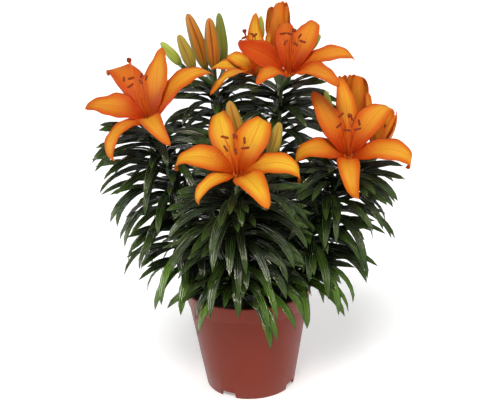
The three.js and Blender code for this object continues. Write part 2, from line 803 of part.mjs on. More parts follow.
function bloomStamens(bloom) {
  const axis = vector(bloom.faces).normalize();
  const [across0, up0] = squareTo(axis);
  const foot = vector(bloom.base).addScaledVector(axis, CUP.height + SEAT);
  const stage = bloom.half ? HALF_OPEN : OPEN;
  const at = (height) => foot.clone().addScaledVector(axis, height * bloom.size * (bloom.pistil || 1));
  const round = (height, radius, sides) => ringAt(at(height), axis, radius, sides);
  const pieces = [
    loft([round(0, PISTIL.footRadius, 6), round(PISTIL.footHeight, PISTIL.footRadius, 6)]),
    loft([
      round(0.5, PISTIL.ovaryRadius, 5),
      round(PISTIL.ovaryLength, PISTIL.ovaryRadius, 5),
      round(PISTIL.ovaryLength + 3, PISTIL.styleRadius, 5),
      round(PISTIL.length - 4, PISTIL.styleRadius, 5),
      round(PISTIL.length - 1, PISTIL.stigmaRadius, 5),
      [at(PISTIL.length)],
    ]),
  ];
  for (let i = 0; i < 6; i++) {
    const angle = radians(bloom.tepals[0].turn + 60 * i + 30);
    const out = across0.clone().multiplyScalar(Math.cos(angle)).addScaledVector(up0, Math.sin(angle));
    const side = new THREE.Vector3().crossVectors(axis, out);
    const reach = FILAMENT.length * bloom.size * stage.reach * (1 + scatter(i, 7, 0.08));
    const place = at(0.5).addScaledVector(out, FILAMENT.ring);
    const lean = (t) => radians(stage.lean + stage.spread * t);
    const points = [place.clone()];
    for (let k = 0; k < 2; k++) {
      const t = (k + 0.5) / 2;
      place.addScaledVector(axis, (Math.cos(lean(t)) * reach) / 2);
      place.addScaledVector(out, (Math.sin(lean(t)) * reach) / 2);
      points.push(place.clone());
    }
    pieces.push(loft(points.map((p) => ringAt(p, axis, FILAMENT.radius, 3))));
    const tilt = radians(scatter(i, 3, 30));
    const lie = bloom.half ? axis
      : out.clone().multiplyScalar(Math.sin(tilt)).addScaledVector(side, Math.cos(tilt));
    const half = (ANTHER.length / 2) * bloom.size;
    pieces.push(loft([
      [place.clone().addScaledVector(lie, -half)],
      ringAt(place.clone().addScaledVector(lie, -half * 0.5), lie, ANTHER.radius, 4),
      ringAt(place.clone().addScaledVector(lie, half * 0.5), lie, ANTHER.radius, 4),
      [place.clone().addScaledVector(lie, half)],
    ]));
  }
  return join(pieces);
}

// Buds

function spindle(base, tip, radius, outline) {
  const axis = tip.clone().sub(base);
  const length = axis.length();
  axis.normalize();
  const rings = outline.map(([s, r]) => ringAt(base.clone().addScaledVector(axis, s * length), axis,
    r * radius, 6, 20));
  rings.push([tip]);
  return loft(rings);
}

function budSolid(bud) {
  const outline = [[0, 0.42], [0.1, 0.7], [0.34, 1], [0.62, 0.86], [0.86, 0.5], [0.97, 0.24]];
  return solid(spindle(vector(bud.base), vector(bud.tip), bud.radius, outline));
}

// Assembly

const plantGroup = new THREE.Group();

function place(name, manifold, colour, roughness) {
  const material = new THREE.MeshStandardMaterial({ color: colour, roughness, metalness: 0 });
  const mesh = new THREE.Mesh(geometryOf(manifold), material);
  mesh.name = name;
  plantGroup.add(mesh);
}

function takeRoomOfPot() {
  const gap = 3;
  const circle = (radius, z) => ringAt(new THREE.Vector3(0, 0, z), UP, radius,
    Math.round((2 * Math.PI * radius) / gap));
  for (let z = 60; z < POT.height; z += gap) room.take('pot', circle(wallRadius(z), z));
  room.take('pot', circle(POT.rimRadius, POT.height));
  room.take('pot', circle(POT.rimRadius - POT.lip, POT.height));
  for (let z = SOIL.top; z < POT.height; z += gap) room.take('pot', circle(innerRadius(z), z));
  for (let radius = gap; radius < innerRadius(SOIL.top); radius += gap) {
    room.take('pot', circle(radius, SOIL.top + SOIL.bump - 0.5));
  }
}

function takeRoomOfTepal(bloom, tepal) {
  const points = [];
  for (let i = 0; i <= 26; i++) {
    const { place: middle, across } = tepalFrame(bloom, tepal, i / 26);
    for (let side = -4; side <= 4; side++) {
      points.push(middle.clone().addScaledVector(across, (side / 4) * tepalHalfWidth(tepal, i / 26)));
    }
  }
  room.take('blooms', points);
}

function takeRoomOfRod(owner, path, radius) {
  const steps = Math.ceil(vector(path[0]).distanceTo(vector(path[3])) / 3);
  for (let i = 0; i <= steps; i++) {
    const { place: middle, along } = onBend(path, i / steps);
    room.take(owner, ringAt(middle, along, radius, 6));
  }
}

function takeRoomOfSpindle(base, tip, radius) {
  const steps = 20;
  const axis = tip.clone().sub(base).normalize();
  for (let i = 0; i <= steps; i++) {
    const middle = base.clone().lerp(tip, i / steps);
    const girth = radius * Math.sin(Math.PI * (0.12 + (0.8 * i) / steps));
    room.take('blooms', ringAt(middle, axis, girth, 12));
  }
}

takeRoomOfPot();
for (const bloom of BLOOMS) tepalsOf(bloom).forEach((tepal) => takeRoomOfTepal(bloom, tepal));
for (const bud of BUDS) takeRoomOfSpindle(vector(bud.base), vector(bud.tip), bud.radius);
for (const plant of PLANTS) {
  takeRoomOfRod(plant.name, plant.path, STEM.topRadius - 1);
  for (const { path } of stalksOf(plant)) takeRoomOfRod(plant.name, path, STALK.radius);
}

place('pot', pot(), COLOURS.pot, 0.45);
place('soil', soil(), COLOURS.soil, 0.95);
for (const plant of PLANTS) place(`plant_${plant.name}`, leafyPlant(plant), COLOURS.plant, 0.45);
for (const bloom of BLOOMS) {
  place(`tepals_${bloom.name}`, bloomTepals(bloom), COLOURS.tepals, 0.55);
  place(`stamens_${bloom.name}`, bloomStamens(bloom), COLOURS.stamens, 0.6);
}
for (const bud of BUDS) place(`bud_${bud.name}`, budSolid(bud), COLOURS.bud, 0.5);

export default plantGroup;
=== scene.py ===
# %% [markdown]
# # A potted Asiatic lily
# Five leafy stems from five bulbs stand in one plastic nursery pot, with open flowers, flowers that
# are half open, and buds. The solids from CAD give every piece its place and size. Here each of
# them is dressed with a finer piece of the same form and with the finish of the real thing. All
# measures are in millimetres, unless a comment says metres.

# %% Load the solids
import math

import bpy
import numpy as np
from mathutils import Matrix, Vector, noise
from mathutils.bvhtree import BVHTree
from mathutils.kdtree import KDTree


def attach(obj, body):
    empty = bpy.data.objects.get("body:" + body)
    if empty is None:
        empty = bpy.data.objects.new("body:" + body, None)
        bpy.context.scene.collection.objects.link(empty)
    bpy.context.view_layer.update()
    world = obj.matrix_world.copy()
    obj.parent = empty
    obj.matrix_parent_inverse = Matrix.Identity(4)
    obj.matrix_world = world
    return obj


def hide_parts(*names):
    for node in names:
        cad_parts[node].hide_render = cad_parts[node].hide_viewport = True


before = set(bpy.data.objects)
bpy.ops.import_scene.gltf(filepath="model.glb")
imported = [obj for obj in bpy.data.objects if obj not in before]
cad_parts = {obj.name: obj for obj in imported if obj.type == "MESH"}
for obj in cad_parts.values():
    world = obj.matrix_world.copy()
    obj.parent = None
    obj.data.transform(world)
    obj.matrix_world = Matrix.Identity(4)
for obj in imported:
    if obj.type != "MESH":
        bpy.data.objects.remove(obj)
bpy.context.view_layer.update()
print("solids:", len(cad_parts))

# %% [markdown]
# ## Camera
# The photograph looks down a little on the plant from about 0.8 m away. The camera comes first, so
# that every later piece can be judged through it. A lens of 57.6 mm on Blender's 36 mm wide sensor
# gives the photograph's perspective, and a small roll keeps the pot's rim as level as it is there.

# %% Camera
CAMERA_PLACE = Vector((0, -0.823, 0.463))
CAMERA_PITCH = math.radians(16.94)
CAMERA_YAW = math.radians(0.34)
CAMERA_ROLL = math.radians(-1.67)

looks = Vector((
    math.sin(CAMERA_YAW) * math.cos(CAMERA_PITCH),
    math.cos(CAMERA_YAW) * math.cos(CAMERA_PITCH),
    -math.sin(CAMERA_PITCH)))
level = looks.cross(Vector((0, 0, 1))).normalized()
upright = level.cross(looks)
right = level * math.cos(CAMERA_ROLL) + upright * math.sin(CAMERA_ROLL)
up = upright * math.cos(CAMERA_ROLL) - level * math.sin(CAMERA_ROLL)
turned = Matrix((right, up, -looks)).transposed().to_4x4()
bpy.ops.object.camera_add()
camera = bpy.context.object
camera.name = "camera"
camera.matrix_world = Matrix.Translation(CAMERA_PLACE) @ turned
camera.data.lens = 57.6
camera.data.sensor_width = 36
camera.data.clip_start = 0.01
camera.data.clip_end = 100
bpy.context.scene.camera = camera
print("camera looks along", [round(v, 3) for v in looks])

# %% [markdown]
# ## Light
# Three soft suns light the plant, because a sun is as strong far away as near, so the floor stays
# white right up to the horizon. A large angle makes a sun's shadows as soft as a big lamp's. Waxy
# leaves and a moulded pot show their form by their gloss, so three narrow suns, a little warm, and
# a tall lamp on each side are hidden from matt skins: they only make streaks in the leaves and the
# pot's upright sheen.

# %% Colours and lights
def linear(code):
    """The linear colour of an sRGB hex code, as a colour socket takes it."""
    parts = [int(code[i:i + 2], 16) / 255 for i in (1, 3, 5)]
    return tuple(p / 12.92 if p <= 0.04045 else ((p + 0.055) / 1.055) ** 2.4 for p in parts) + (1,)


def light(name, kind, place, target, strength):
    """A light that shines from a place at a target."""
    bpy.ops.object.light_add(type=kind, location=place)
    lamp = bpy.context.object
    lamp.name = name
    lamp.data.energy = strength
    away = Vector(place) - Vector(target)
    lamp.rotation_euler = away.to_track_quat("Z", "Y").to_euler()
    return lamp


# %% Suns and lamps
MIDDLE = (0, 0, 0.2)
LAMP_HEIGHT = 1.0
GLOSS_COLOUR = "#fff0d2"
for name, place, strength, angle in (
        ("key", (-0.25, -1.1, 1.5), 2.2, 24),
        ("from_right", (1.2, -0.6, 1.0), 0.75, 60),
        ("from_behind", (0.2, 1.2, 1.3), 0.5, 60),
        ("gloss_left", (-1.2, -0.7, 0.9), 2.2, 9),
        ("gloss_right", (1.1, -0.6, 1.2), 1.9, 9),
        ("gloss_above", (0.1, -0.3, 1.4), 2.6, 9)):
    sun = light(name, "SUN", place, (0, 0, 0), strength)
    sun.data.angle = math.radians(angle)
    if name.startswith("gloss"):
        sun.visible_diffuse = False
        sun.data.color = linear(GLOSS_COLOUR)[:3]

for name, place, power, width, colour in (
        ("left_sheen", (-1.2, -0.15, 0.45), 24, 0.5, "#fffaf4"),
        ("right_sheen", (1.2, -0.1, 0.4), 1, 0.3, "#f6f9ff")):
    lamp = light(name, "AREA", place, MIDDLE, power)
    lamp.data.shape = "RECTANGLE"
    lamp.data.size = width
    lamp.data.size_y = LAMP_HEIGHT
    lamp.data.color = linear(colour)[:3]
    lamp.visible_diffuse = False

# %% [markdown]
# ## Sky
# The sky is white where the camera sees it and dim where it lights the plant. A bright sky all
# round would be mirrored in every leaf and leave no deep shade in the foliage.

# %% Sky
world = bpy.data.worlds.new("studio")
world.use_nodes = True
sky = world.node_tree
seen = sky.nodes["Background"]
dim = sky.nodes.new("ShaderNodeBackground")
for background, colour, strength in ((seen, "#ffffff", 1.0), (dim, "#f6f8fa", 0.16)):
    background.inputs["Color"].default_value = linear(colour)
    background.inputs["Strength"].default_value = strength
ray = sky.nodes.new("ShaderNodeLightPath")
either = sky.nodes.new("ShaderNodeMixShader")
sky.links.new(ray.outputs["Is Camera Ray"], either.inputs[0])
sky.links.new(dim.outputs["Background"], either.inputs[1])
sky.links.new(seen.outputs["Background"], either.inputs[2])
sky.links.new(either.outputs["Shader"], sky.nodes["World Output"].inputs["Surface"])
bpy.context.scene.world = world
bpy.context.scene.view_settings.view_transform = "Standard"
print("sky:", [round(b.inputs["Strength"].default_value, 2) for b in (seen, dim)])

# %% [markdown]
# ## Floor
# The plant stands on a plain white floor that runs out of sight. It glows a little, as the lit
# sheet of acrylic under a product does, so shadows stay pale.

# %% Floor
bpy.ops.mesh.primitive_plane_add(size=60, location=(0, 0, 0))
floor = bpy.context.object
floor.name = "floor"
acrylic = bpy.data.materials.new("lit_acrylic")
acrylic.use_nodes = True
skin = acrylic.node_tree.nodes["Principled BSDF"].inputs
skin["Base Color"].default_value = linear("#fbfbfa")
skin["Roughness"].default_value = 0.9
skin["Emission Color"].default_value = linear("#ffffff")
skin["Emission Strength"].default_value = 0.3
floor.data.materials.append(acrylic)
print("floor:", floor.dimensions[:2])

# %% [markdown]
# ## Making materials
# Each finish is a small tree of nodes. One function adds a node, sets it and links it, so that a
# tree reads from top to bottom: first the place on the piece, then the pattern, the colour and the
# shader.

# %% One node at a time
def add_node(material, kind, inputs=None, **settings):
    """Adds a node. An input is a value, a node, or a node with the name of its output. Inputs that
    share a name are given by number."""
    node = material.node_tree.nodes.new("ShaderNode" + kind)
    for name, value in settings.items():
        setattr(node, name, value)
    for name, value in (inputs or {}).items():
        if isinstance(name, int):
            socket = node.inputs[name]
        else:
            socket = next(s for s in node.inputs if s.name == name and s.enabled)
        if isinstance(value, bpy.types.Node):
            value = (value, next(s.name for s in value.outputs if s.enabled))
        if isinstance(value, tuple) and isinstance(value[0], bpy.types.Node):
            output = next(s for s in value[0].outputs if s.name == value[1] and s.enabled)
            material.node_tree.links.new(output, socket)
        else:
            socket.default_value = value
    return node


def bare_material(name):
    material = bpy.data.materials.new(name)
    material.use_nodes = True
    material.node_tree.nodes.clear()
    return material


# %% [markdown]
# A plant's skin is one colour laid over another, each in its own zone: the green, then the veins,
# the midrib, the border. So each finish below has a table with a row for every layer. A row says
# which value the layer follows, between which two numbers of it the layer comes in, how much of it
# there is at most, whether it comes in softly or evenly, and its colour. More values at the end of
# a row bound the layer further, and their share is multiplied in.

# %% Layers of colour
SOFT, EVEN = "SMOOTHSTEP", "LINEAR"


def layered(material, colour, layers):
    """Lays the layers of a table over a colour, and gives back the node with the last of them."""
    for value, start, end, most, ramp, over, *bounds in layers:
        zone = add_node(material, "MapRange", {
            "Value": value, "From Min": start, "From Max": end, "To Max": most},
            interpolation_type=ramp)
        for bound in bounds:
            zone = add_node(material, "Math", {0: zone, 1: bound}, operation="MULTIPLY")
        colour = add_node(material, "Mix", {
            "Factor": zone, "A": colour, "B": linear(over) if isinstance(over, str) else over},
            data_type="RGBA")
    return colour


# %% [markdown]
# ## Pot plastic
# The pot is moulded polypropylene in a terracotta brown, taken out of a polished mould: a satin
# skin with broad soft reflections, faint flow marks and a little grain. Polypropylene has an IOR of
# 1.49. The flow marks are about 17 mm apart, and the grain is far too fine to see, so it is drawn
# at 0.6 mm and very weak.

# %% Pot plastic
pot_plastic = bare_material("moulded_polypropylene")
place = add_node(pot_plastic, "TexCoord")
flow = add_node(pot_plastic, "TexNoise", {
    "Vector": (place, "Object"), "Scale": 60.0, "Detail": 3.0, "Roughness": 0.55})
grain = add_node(pot_plastic, "TexNoise", {
    "Vector": (place, "Object"), "Scale": 1700.0, "Detail": 2.0, "Roughness": 0.6})
tint = add_node(pot_plastic, "Mix", {
    "Factor": flow, "A": linear("#762716"), "B": linear("#822e1a")}, data_type="RGBA")
roughness = add_node(pot_plastic, "MapRange", {
    "Value": flow, "From Min": 0.3, "From Max": 0.7, "To Min": 0.33, "To Max": 0.42})
relief = add_node(pot_plastic, "Bump", {
    "Height": grain, "Strength": 0.25, "Distance": 0.00006})
relief = add_node(pot_plastic, "Bump", {
    "Height": flow, "Strength": 0.35, "Distance": 0.00025, "Normal": relief})
shader = add_node(pot_plastic, "BsdfPrincipled", {
    "Base Color": tint, "Roughness": roughness, "IOR": 1.49, "Specular IOR Level": 0.24,
    "Normal": relief})
add_node(pot_plastic, "OutputMaterial", {"Surface": shader})
print("made", pot_plastic.name)

# %% [markdown]
# ## Peat
# Potting soil is moist peat: near-black brown, dull, with lighter fibres. Its colour changes over
# about 3 mm, the size of its crumbs.

# %% Peat
peat = bare_material("moist_peat")
place = add_node(peat, "TexCoord")
crumbs = add_node(peat, "TexNoise", {
    "Vector": (place, "Object"), "Scale": 320.0, "Detail": 4.0, "Roughness": 0.7})
fibres = add_node(peat, "MapRange", {"Value": crumbs, "From Min": 0.35, "From Max": 0.7})
tint = add_node(peat, "Mix", {
    "Factor": fibres, "A": linear("#15100d"), "B": linear("#3a2a20")}, data_type="RGBA")
relief = add_node(peat, "Bump", {"Height": crumbs, "Strength": 0.8, "Distance": 0.0012})
shader = add_node(peat, "BsdfPrincipled", {
    "Base Color": tint, "Roughness": 0.92, "IOR": 1.4, "Normal": relief})
add_node(peat, "OutputMaterial", {"Surface": shader})
print("made", peat.name)

# %% [markdown]
# ## Leaf
# A lily leaf has a waxy skin, IOR about 1.45, that throws long pale streaks of light, over a deep
# green. Fine parallel veins run from foot to tip, a little over 1 mm apart, which is too fine to
# show here, so they are drawn about 2 mm apart as pale lines: partly the veins' own colour, and
# partly painted highlight streaks. The midrib is paler. A narrow border is paler too, which is
# painted light that shines through the thin edge. The tip is lighter, and leaves that hang over
# the rim are painted a lighter green, as light that falls on them there. The underside is duller
# and greyer. The pattern reads the blade's own UV map, which runs across and along each leaf, and
# two numbers kept on the mesh: the leaf's own tone, which also carries the painted light over the
# rim, and which side of the blade a point is on. Petals are blades too, so the nodes for the place
# on a blade come from one function.

# %% The place on a blade
def on_blade(material):
    """The place on the piece, the place along and across a blade, how far aside of its middle a
    point is, and the numbers on the mesh for its tone and its underside."""
    place = add_node(material, "TexCoord")
    blade = add_node(material, "SeparateXYZ", {"Vector": (place, "UV")})
    aside = add_node(material, "Math", {0: (blade, "X"), 1: 0.5}, operation="SUBTRACT")
    aside = add_node(material, "Math", {0: aside}, operation="ABSOLUTE")
    tone = add_node(material, "Attribute", attribute_name="tone")
    under = add_node(material, "Attribute", attribute_name="under")
    return place, blade, aside, tone, under


# %% Leaf: patterns
leaf_green = bare_material("waxy_leaf")
place, blade, aside, tone, under = on_blade(leaf_green)
blotches = add_node(leaf_green, "TexNoise", {
    "Vector": (place, "Object"), "Scale": 45.0, "Detail": 3.0, "Roughness": 0.6})
veins = add_node(leaf_green, "TexWave", {
    "Vector": (place, "UV"), "Scale": 1.45, "Distortion": 0.3, "Detail": 1.0, "Detail Scale": 2.0},
    wave_type="BANDS", bands_direction="X")
print("nodes for places and patterns:", len(leaf_green.node_tree.nodes))

# %% Leaf: layers of colour, and the shader
shade = layered(leaf_green, linear("#0b1106"), (
    ((tone, "Fac"), 0.0, 1.0, 1.0, EVEN, "#131e0a"),
    # Painted light on leaves over the rim; a few others at random are fresher.
    ((tone, "Fac"), 1.0, 1.3, 0.85, EVEN, "#74a030"),  # painted light over the rim
    (blotches, 0.4, 0.75, 0.45, EVEN, "#243410"),
    ((blade, "Y"), 0.66, 1.0, 0.75, SOFT, "#4f6b22"),  # the tip
    # Pale vein lines: partly the veins' own colour, partly painted highlight streaks.
    ((veins, "Fac"), 0.8, 1.0, 0.5, EVEN, "#56703a"),
    (aside, 0.06, 0.0, 0.35, SOFT, "#66823f"),  # the midrib
    (aside, 0.4, 0.49, 0.55, SOFT, "#5f7c26"),  # the border: painted light through the thin edge
    ((under, "Fac"), 0.0, 1.0, 1.0, EVEN, "#223016")))
relief = add_node(leaf_green, "Bump", {
    "Height": (veins, "Fac"), "Strength": 0.8, "Distance": 0.0012})
roughness = add_node(leaf_green, "MapRange", {
    "Value": blotches, "From Min": 0.3, "From Max": 0.7, "To Min": 0.14, "To Max": 0.22})
shader = add_node(leaf_green, "BsdfPrincipled", {
    "Base Color": shade, "Roughness": roughness, "IOR": 1.45, "Specular IOR Level": 0.5,
    "Normal": relief})
add_node(leaf_green, "OutputMaterial", {"Surface": shader})
print("made", leaf_green.name, len(leaf_green.node_tree.nodes), "nodes")

# %% [markdown]
# ## Stem
# The stems are green and smooth with a faint bloom. The shade changes slowly along them, over some
# 20 mm, which one cloudy noise gives.

# %% Stem
stem_green = bare_material("smooth_stem")
place = add_node(stem_green, "TexCoord")
cloud = add_node(stem_green, "TexNoise", {
    "Vector": (place, "Object"), "Scale": 50.0, "Detail": 3.0, "Roughness": 0.5})
shade = add_node(stem_green, "Mix", {
    "Factor": cloud, "A": linear("#33491c"), "B": linear("#4a6328")}, data_type="RGBA")
relief = add_node(stem_green, "Bump", {"Height": cloud, "Strength": 0.3, "Distance": 0.0004})
shader = add_node(stem_green, "BsdfPrincipled", {
    "Base Color": shade, "Roughness": 0.42, "IOR": 1.45, "Normal": relief})
add_node(stem_green, "OutputMaterial", {"Surface": shader})
print("made", stem_green.name)

# %% [markdown]
# ## Petal
# The petals, which botanists call tepals, are thin, moist and a little see-through, with a soft
# satin skin. Each is orange with a golden glow along its middle, redder at its edges and deep in
# the throat. Fine veins a little over 1 mm apart run along it, with broader streaks among them, and
# near its foot it has dark freckles, under 1 mm across. The outside is duller, and its middle keeps
# a trace of the bud's green. Numbers on the mesh say how red this petal is, which is its tone, which
# side of it is the outside, and how much of the green, the stripe, is left there.

# %% Petal: patterns
petal_skin = bare_material("satin_petal")
place, blade, aside, red, under = on_blade(petal_skin)
stripe = add_node(petal_skin, "Attribute", attribute_name="stripe")
clouds = add_node(petal_skin, "TexNoise", {
    "Vector": (place, "Object"), "Scale": 70.0, "Detail": 3.0, "Roughness": 0.55})
veins = add_node(petal_skin, "TexWave", {
    "Vector": (place, "UV"), "Scale": 6.4, "Distortion": 0.5, "Detail": 1.0, "Detail Scale": 1.5},
    wave_type="BANDS", bands_direction="X")
stretched = add_node(petal_skin, "Mapping", {
    "Vector": (place, "UV"), "Scale": (13.0, 1.3, 1.0)})
streaks = add_node(petal_skin, "TexNoise", {
    "Vector": stretched, "Scale": 1.0, "Detail": 4.0, "Roughness": 0.6})
dots = add_node(petal_skin, "TexVoronoi", {
    "Vector": (place, "Object"), "Scale": 460.0, "Randomness": 1.0})
print("nodes for places and patterns:", len(petal_skin.node_tree.nodes))

# %% Petal: what bounds its layers
past_foot, before_tip, near_foot = (
    add_node(petal_skin, "MapRange", {
        "Value": (blade, "Y"), "From Min": start, "From Max": end}, interpolation_type=SOFT)
    for start, end in ((0.08, 0.4), (1.02, 0.72), (0.5, 0.3)))
depth = add_node(petal_skin, "MapRange", {
    "Value": (red, "Fac"), "From Max": 0.5, "To Min": 0.58, "To Max": 1.0})
chance = add_node(petal_skin, "SeparateColor", {"Color": (dots, "Color")})
scarce = add_node(petal_skin, "Math", {0: (chance, "Red"), 1: 0.62}, operation="GREATER_THAN")
print("nodes with the bounds:", len(petal_skin.node_tree.nodes))

# %% Petal: layers of colour, and the shader
gold = layered(petal_skin, linear("#efbe30"), (
    ((red, "Fac"), 0.0, 1.0, 1.0, EVEN, "#ca4a12"),))
colour = layered(petal_skin, linear("#dc6c12"), (
    (clouds, 0.0, 1.0, 1.0, EVEN, "#e07a18"),
    ((red, "Fac"), 0.0, 1.0, 1.0, EVEN, "#bc320e"),
    (aside, 0.46, 0.1, 1.0, SOFT, gold, past_foot, before_tip),
    (aside, 0.28, 0.5, 0.5, SOFT, "#d6540e"),  # the edges
    ((blade, "Y"), 0.66, 0.1, 0.95, SOFT, "#c4360c", depth),  # the throat
    ((veins, "Fac"), 0.65, 1.0, 0.22, EVEN, "#dc6c1a"),
    (streaks, 0.46, 0.7, 0.5, EVEN, "#ce5c18"),
    (aside, 0.045, 0.01, 0.3, SOFT, "#dc741e"),  # the furrow
    ((dots, "Distance"), 0.26, 0.16, 1.0, EVEN, "#7a2810", near_foot, scarce),  # freckles
    ((under, "Fac"), 0.0, 1.0, 0.5, EVEN, "#dc6e1c"),  # the outside
    (aside, 0.2, 0.04, 1.0, SOFT, "#a08430", (stripe, "Fac"), (under, "Fac"))))
relief = add_node(petal_skin, "Bump", {
    "Height": (veins, "Fac"), "Strength": 0.4, "Distance": 0.00022})
relief = add_node(petal_skin, "Bump", {
    "Height": clouds, "Strength": 0.25, "Distance": 0.0006, "Normal": relief})
shader = add_node(petal_skin, "BsdfPrincipled", {
    "Base Color": colour, "Roughness": 0.5, "IOR": 1.42, "Specular IOR Level": 0.08,
    "Normal": relief, "Subsurface Weight": 0.2, "Subsurface Radius": (0.0022, 0.0009, 0.0002),
    "Subsurface Scale": 1.0})
add_node(petal_skin, "OutputMaterial", {"Surface": shader})
print("made", petal_skin.name, len(petal_skin.node_tree.nodes), "nodes")

# %% [markdown]
# ## Stamens
# The filaments and the style are moist and orange. The anthers and the stigma are dull and dark
# red-brown, and the anthers are covered with pollen grains, far under 1 mm, which are drawn as a
# rough grain of 0.4 mm. One number on the mesh, dark, tells anthers and stigma from the rest.

# %% Stamens
filament_skin = bare_material("filament_and_pollen")
place = add_node(filament_skin, "TexCoord")
dark = add_node(filament_skin, "Attribute", attribute_name="dark")
dust = add_node(filament_skin, "TexNoise", {
    "Vector": (place, "Object"), "Scale": 2600.0, "Detail": 2.0, "Roughness": 0.7})
pollen = add_node(filament_skin, "Mix", {
    "Factor": dust, "A": linear("#741e08"), "B": linear("#983a10")}, data_type="RGBA")
colour = add_node(filament_skin, "Mix", {
    "Factor": (dark, "Fac"), "A": linear("#e26c20"), "B": pollen}, data_type="RGBA")
relief = add_node(filament_skin, "Bump", {"Height": dust, "Strength": 0.5, "Distance": 0.0002})
roughness = add_node(filament_skin, "MapRange", {
    "Value": (dark, "Fac"), "To Min": 0.4, "To Max": 0.85})
shader = add_node(filament_skin, "BsdfPrincipled", {
    "Base Color": colour, "Roughness": roughness, "IOR": 1.42, "Specular IOR Level": 0.2,
    "Normal": relief})
add_node(filament_skin, "OutputMaterial", {"Surface": shader})
print("made", filament_skin.name)

# %% [markdown]
# ## Bud
# A bud is closed petals, waxy like the leaves. It starts green and colours to a brownish orange as
# it ripens. The backs of its three outer petals stay green longest, and dark seams lie where they
# meet. Four marks on the mesh steer this: ripe says how far the bud is, deep how dark its green is,
# rib runs from 1 on the backs to -1 in the seams, and on_bud is the place round and up the bud.

# %% Bud
bud_skin = bare_material("waxy_bud")
ripe = add_node(bud_skin, "Attribute", attribute_name="ripe")
deep = add_node(bud_skin, "Attribute", attribute_name="deep")
rib = add_node(bud_skin, "Attribute", attribute_name="rib")
on_bud = add_node(bud_skin, "Attribute", attribute_name="on_bud")
up_bud = add_node(bud_skin, "SeparateXYZ", {"Vector": (on_bud, "Vector")})
clouds = add_node(bud_skin, "TexNoise", {
    "Vector": (on_bud, "Vector"), "Scale": 5.0, "Detail": 3.0, "Roughness": 0.6})
orange = layered(bud_skin, linear("#bc5410"), (
    (clouds, 0.35, 0.65, 1.0, EVEN, "#de7c1c"),
    ((rib, "Fac"), 0.2, 0.9, 0.8, SOFT, "#8e7628"),  # the backs
    ((rib, "Fac"), -0.86, -1.0, 1.0, SOFT, "#6c2610")))  # the seams
colour = layered(bud_skin, linear("#98a838"), (
    (clouds, 0.35, 0.65, 1.0, EVEN, "#c6cc5c"),
    ((deep, "Fac"), 0.0, 1.0, 1.0, EVEN, "#557024"),
    ((ripe, "Fac"), 0.0, 1.0, 1.0, EVEN, orange),
    ((up_bud, "Z"), 0.06, 0.0, 0.6, SOFT, "#74883a")))  # the foot
relief = add_node(bud_skin, "Bump", {"Height": clouds, "Strength": 0.4, "Distance": 0.0006})
shader = add_node(bud_skin, "BsdfPrincipled", {
    "Base Color": colour, "Roughness": 0.46, "IOR": 1.45, "Specular IOR Level": 0.2,
    "Normal": relief})
add_node(bud_skin, "OutputMaterial", {"Surface": shader})
print("made", bud_skin.name)

# %% [markdown]
# ## Turned shapes
# The pot, the bulbs, the buds and the filaments are all round. By hand such a shape starts as a
# circle that is extruded upwards again and again, and each new ring is scaled to its radius. The
# helper does just that from a list of radii and heights, and the circle and the last ring, which
# are filled, close it.

# %% Selecting and closing
def select_only(thing):
    bpy.ops.object.select_all(action="DESELECT")
    thing.select_set(True)
    bpy.context.view_layer.objects.active = thing


def edit_all(thing):
    """Opens a thing in edit mode, with all of it selected."""
    select_only(thing)
    bpy.ops.object.mode_set(mode="EDIT")
    bpy.ops.mesh.select_all(action="SELECT")


def close_up(thing, merge=0.0):
    """Merges the points that lie closer than merge, and turns all faces outwards."""
    edit_all(thing)
    if merge:
        bpy.ops.mesh.remove_doubles(threshold=merge)
    bpy.ops.mesh.normals_make_consistent(inside=False)
    bpy.ops.object.mode_set(mode="OBJECT")


# %% Turned shapes
MM = 0.001


def turned_shape(name, levels, sides, scale=1):
    """A closed round shape through rings, each a radius and a height."""
    levels = [(radius * scale, height * scale) for radius, height in levels]
    radius, height = levels[0]
    bpy.ops.mesh.primitive_circle_add(
        vertices=sides, radius=radius, fill_type="NGON", location=(0, 0, 0))
    shape = bpy.context.object
    shape.name = name
    edit_all(shape)
    bpy.ops.transform.translate(value=(0, 0, height))
    for new_radius, new_height in levels[1:]:
        bpy.ops.mesh.extrude_region_move(
            TRANSFORM_OT_translate={"value": (0, 0, new_height - height)})
        wider = new_radius / radius
        bpy.ops.transform.resize(value=(wider, wider, 1), center_override=(0, 0, new_height))
        radius, height = new_radius, new_height
    bpy.ops.object.mode_set(mode="OBJECT")
    close_up(shape)
    print(name, "faces:", len(shape.data.polygons))
    return shape


# %% Finishing a piece
def finish(piece, name, finishes, nodes):
    """Gives a finished piece its name and its materials, and lets it stand for CAD solids. With no
    finishes given, the piece keeps those it has."""
    piece.name = name
    piece.data.name = name
    if finishes:
        piece.data.materials.clear()
    for finish_of_piece in finishes:
        piece.data.materials.append(finish_of_piece)
    select_only(piece)
    bpy.ops.object.shade_smooth()
    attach(piece, "root")
    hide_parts(*nodes)
    print(name, "faces:", len(piece.data.polygons))


# %% [markdown]
# ## Pot
# The pot is a moulded tub 140 mm wide and 116 mm tall. Its wall is thin, its rim is stiffened by a
# band 18 mm high with a fine groove under it, and it stands on a skirt with four notches that let
# water out, under a floor with drain holes and a foot in its middle. It is turned in one go, up the
# outside and down the inside, and the notches and holes are cut with the Boolean modifier.

# %% Pot
POT_HEIGHT = 116
RIM_RADIUS = 70
FOOT_RADIUS = 51
BAND_FOOT = POT_HEIGHT - 18
WALL = 2.7
STEP = 0.9  # how far the wall lies back under the band


def wall_radius(z):
    return FOOT_RADIUS + (RIM_RADIUS - FOOT_RADIUS) * z / POT_HEIGHT


def inner_radius(z):
    return wall_radius(z) - WALL


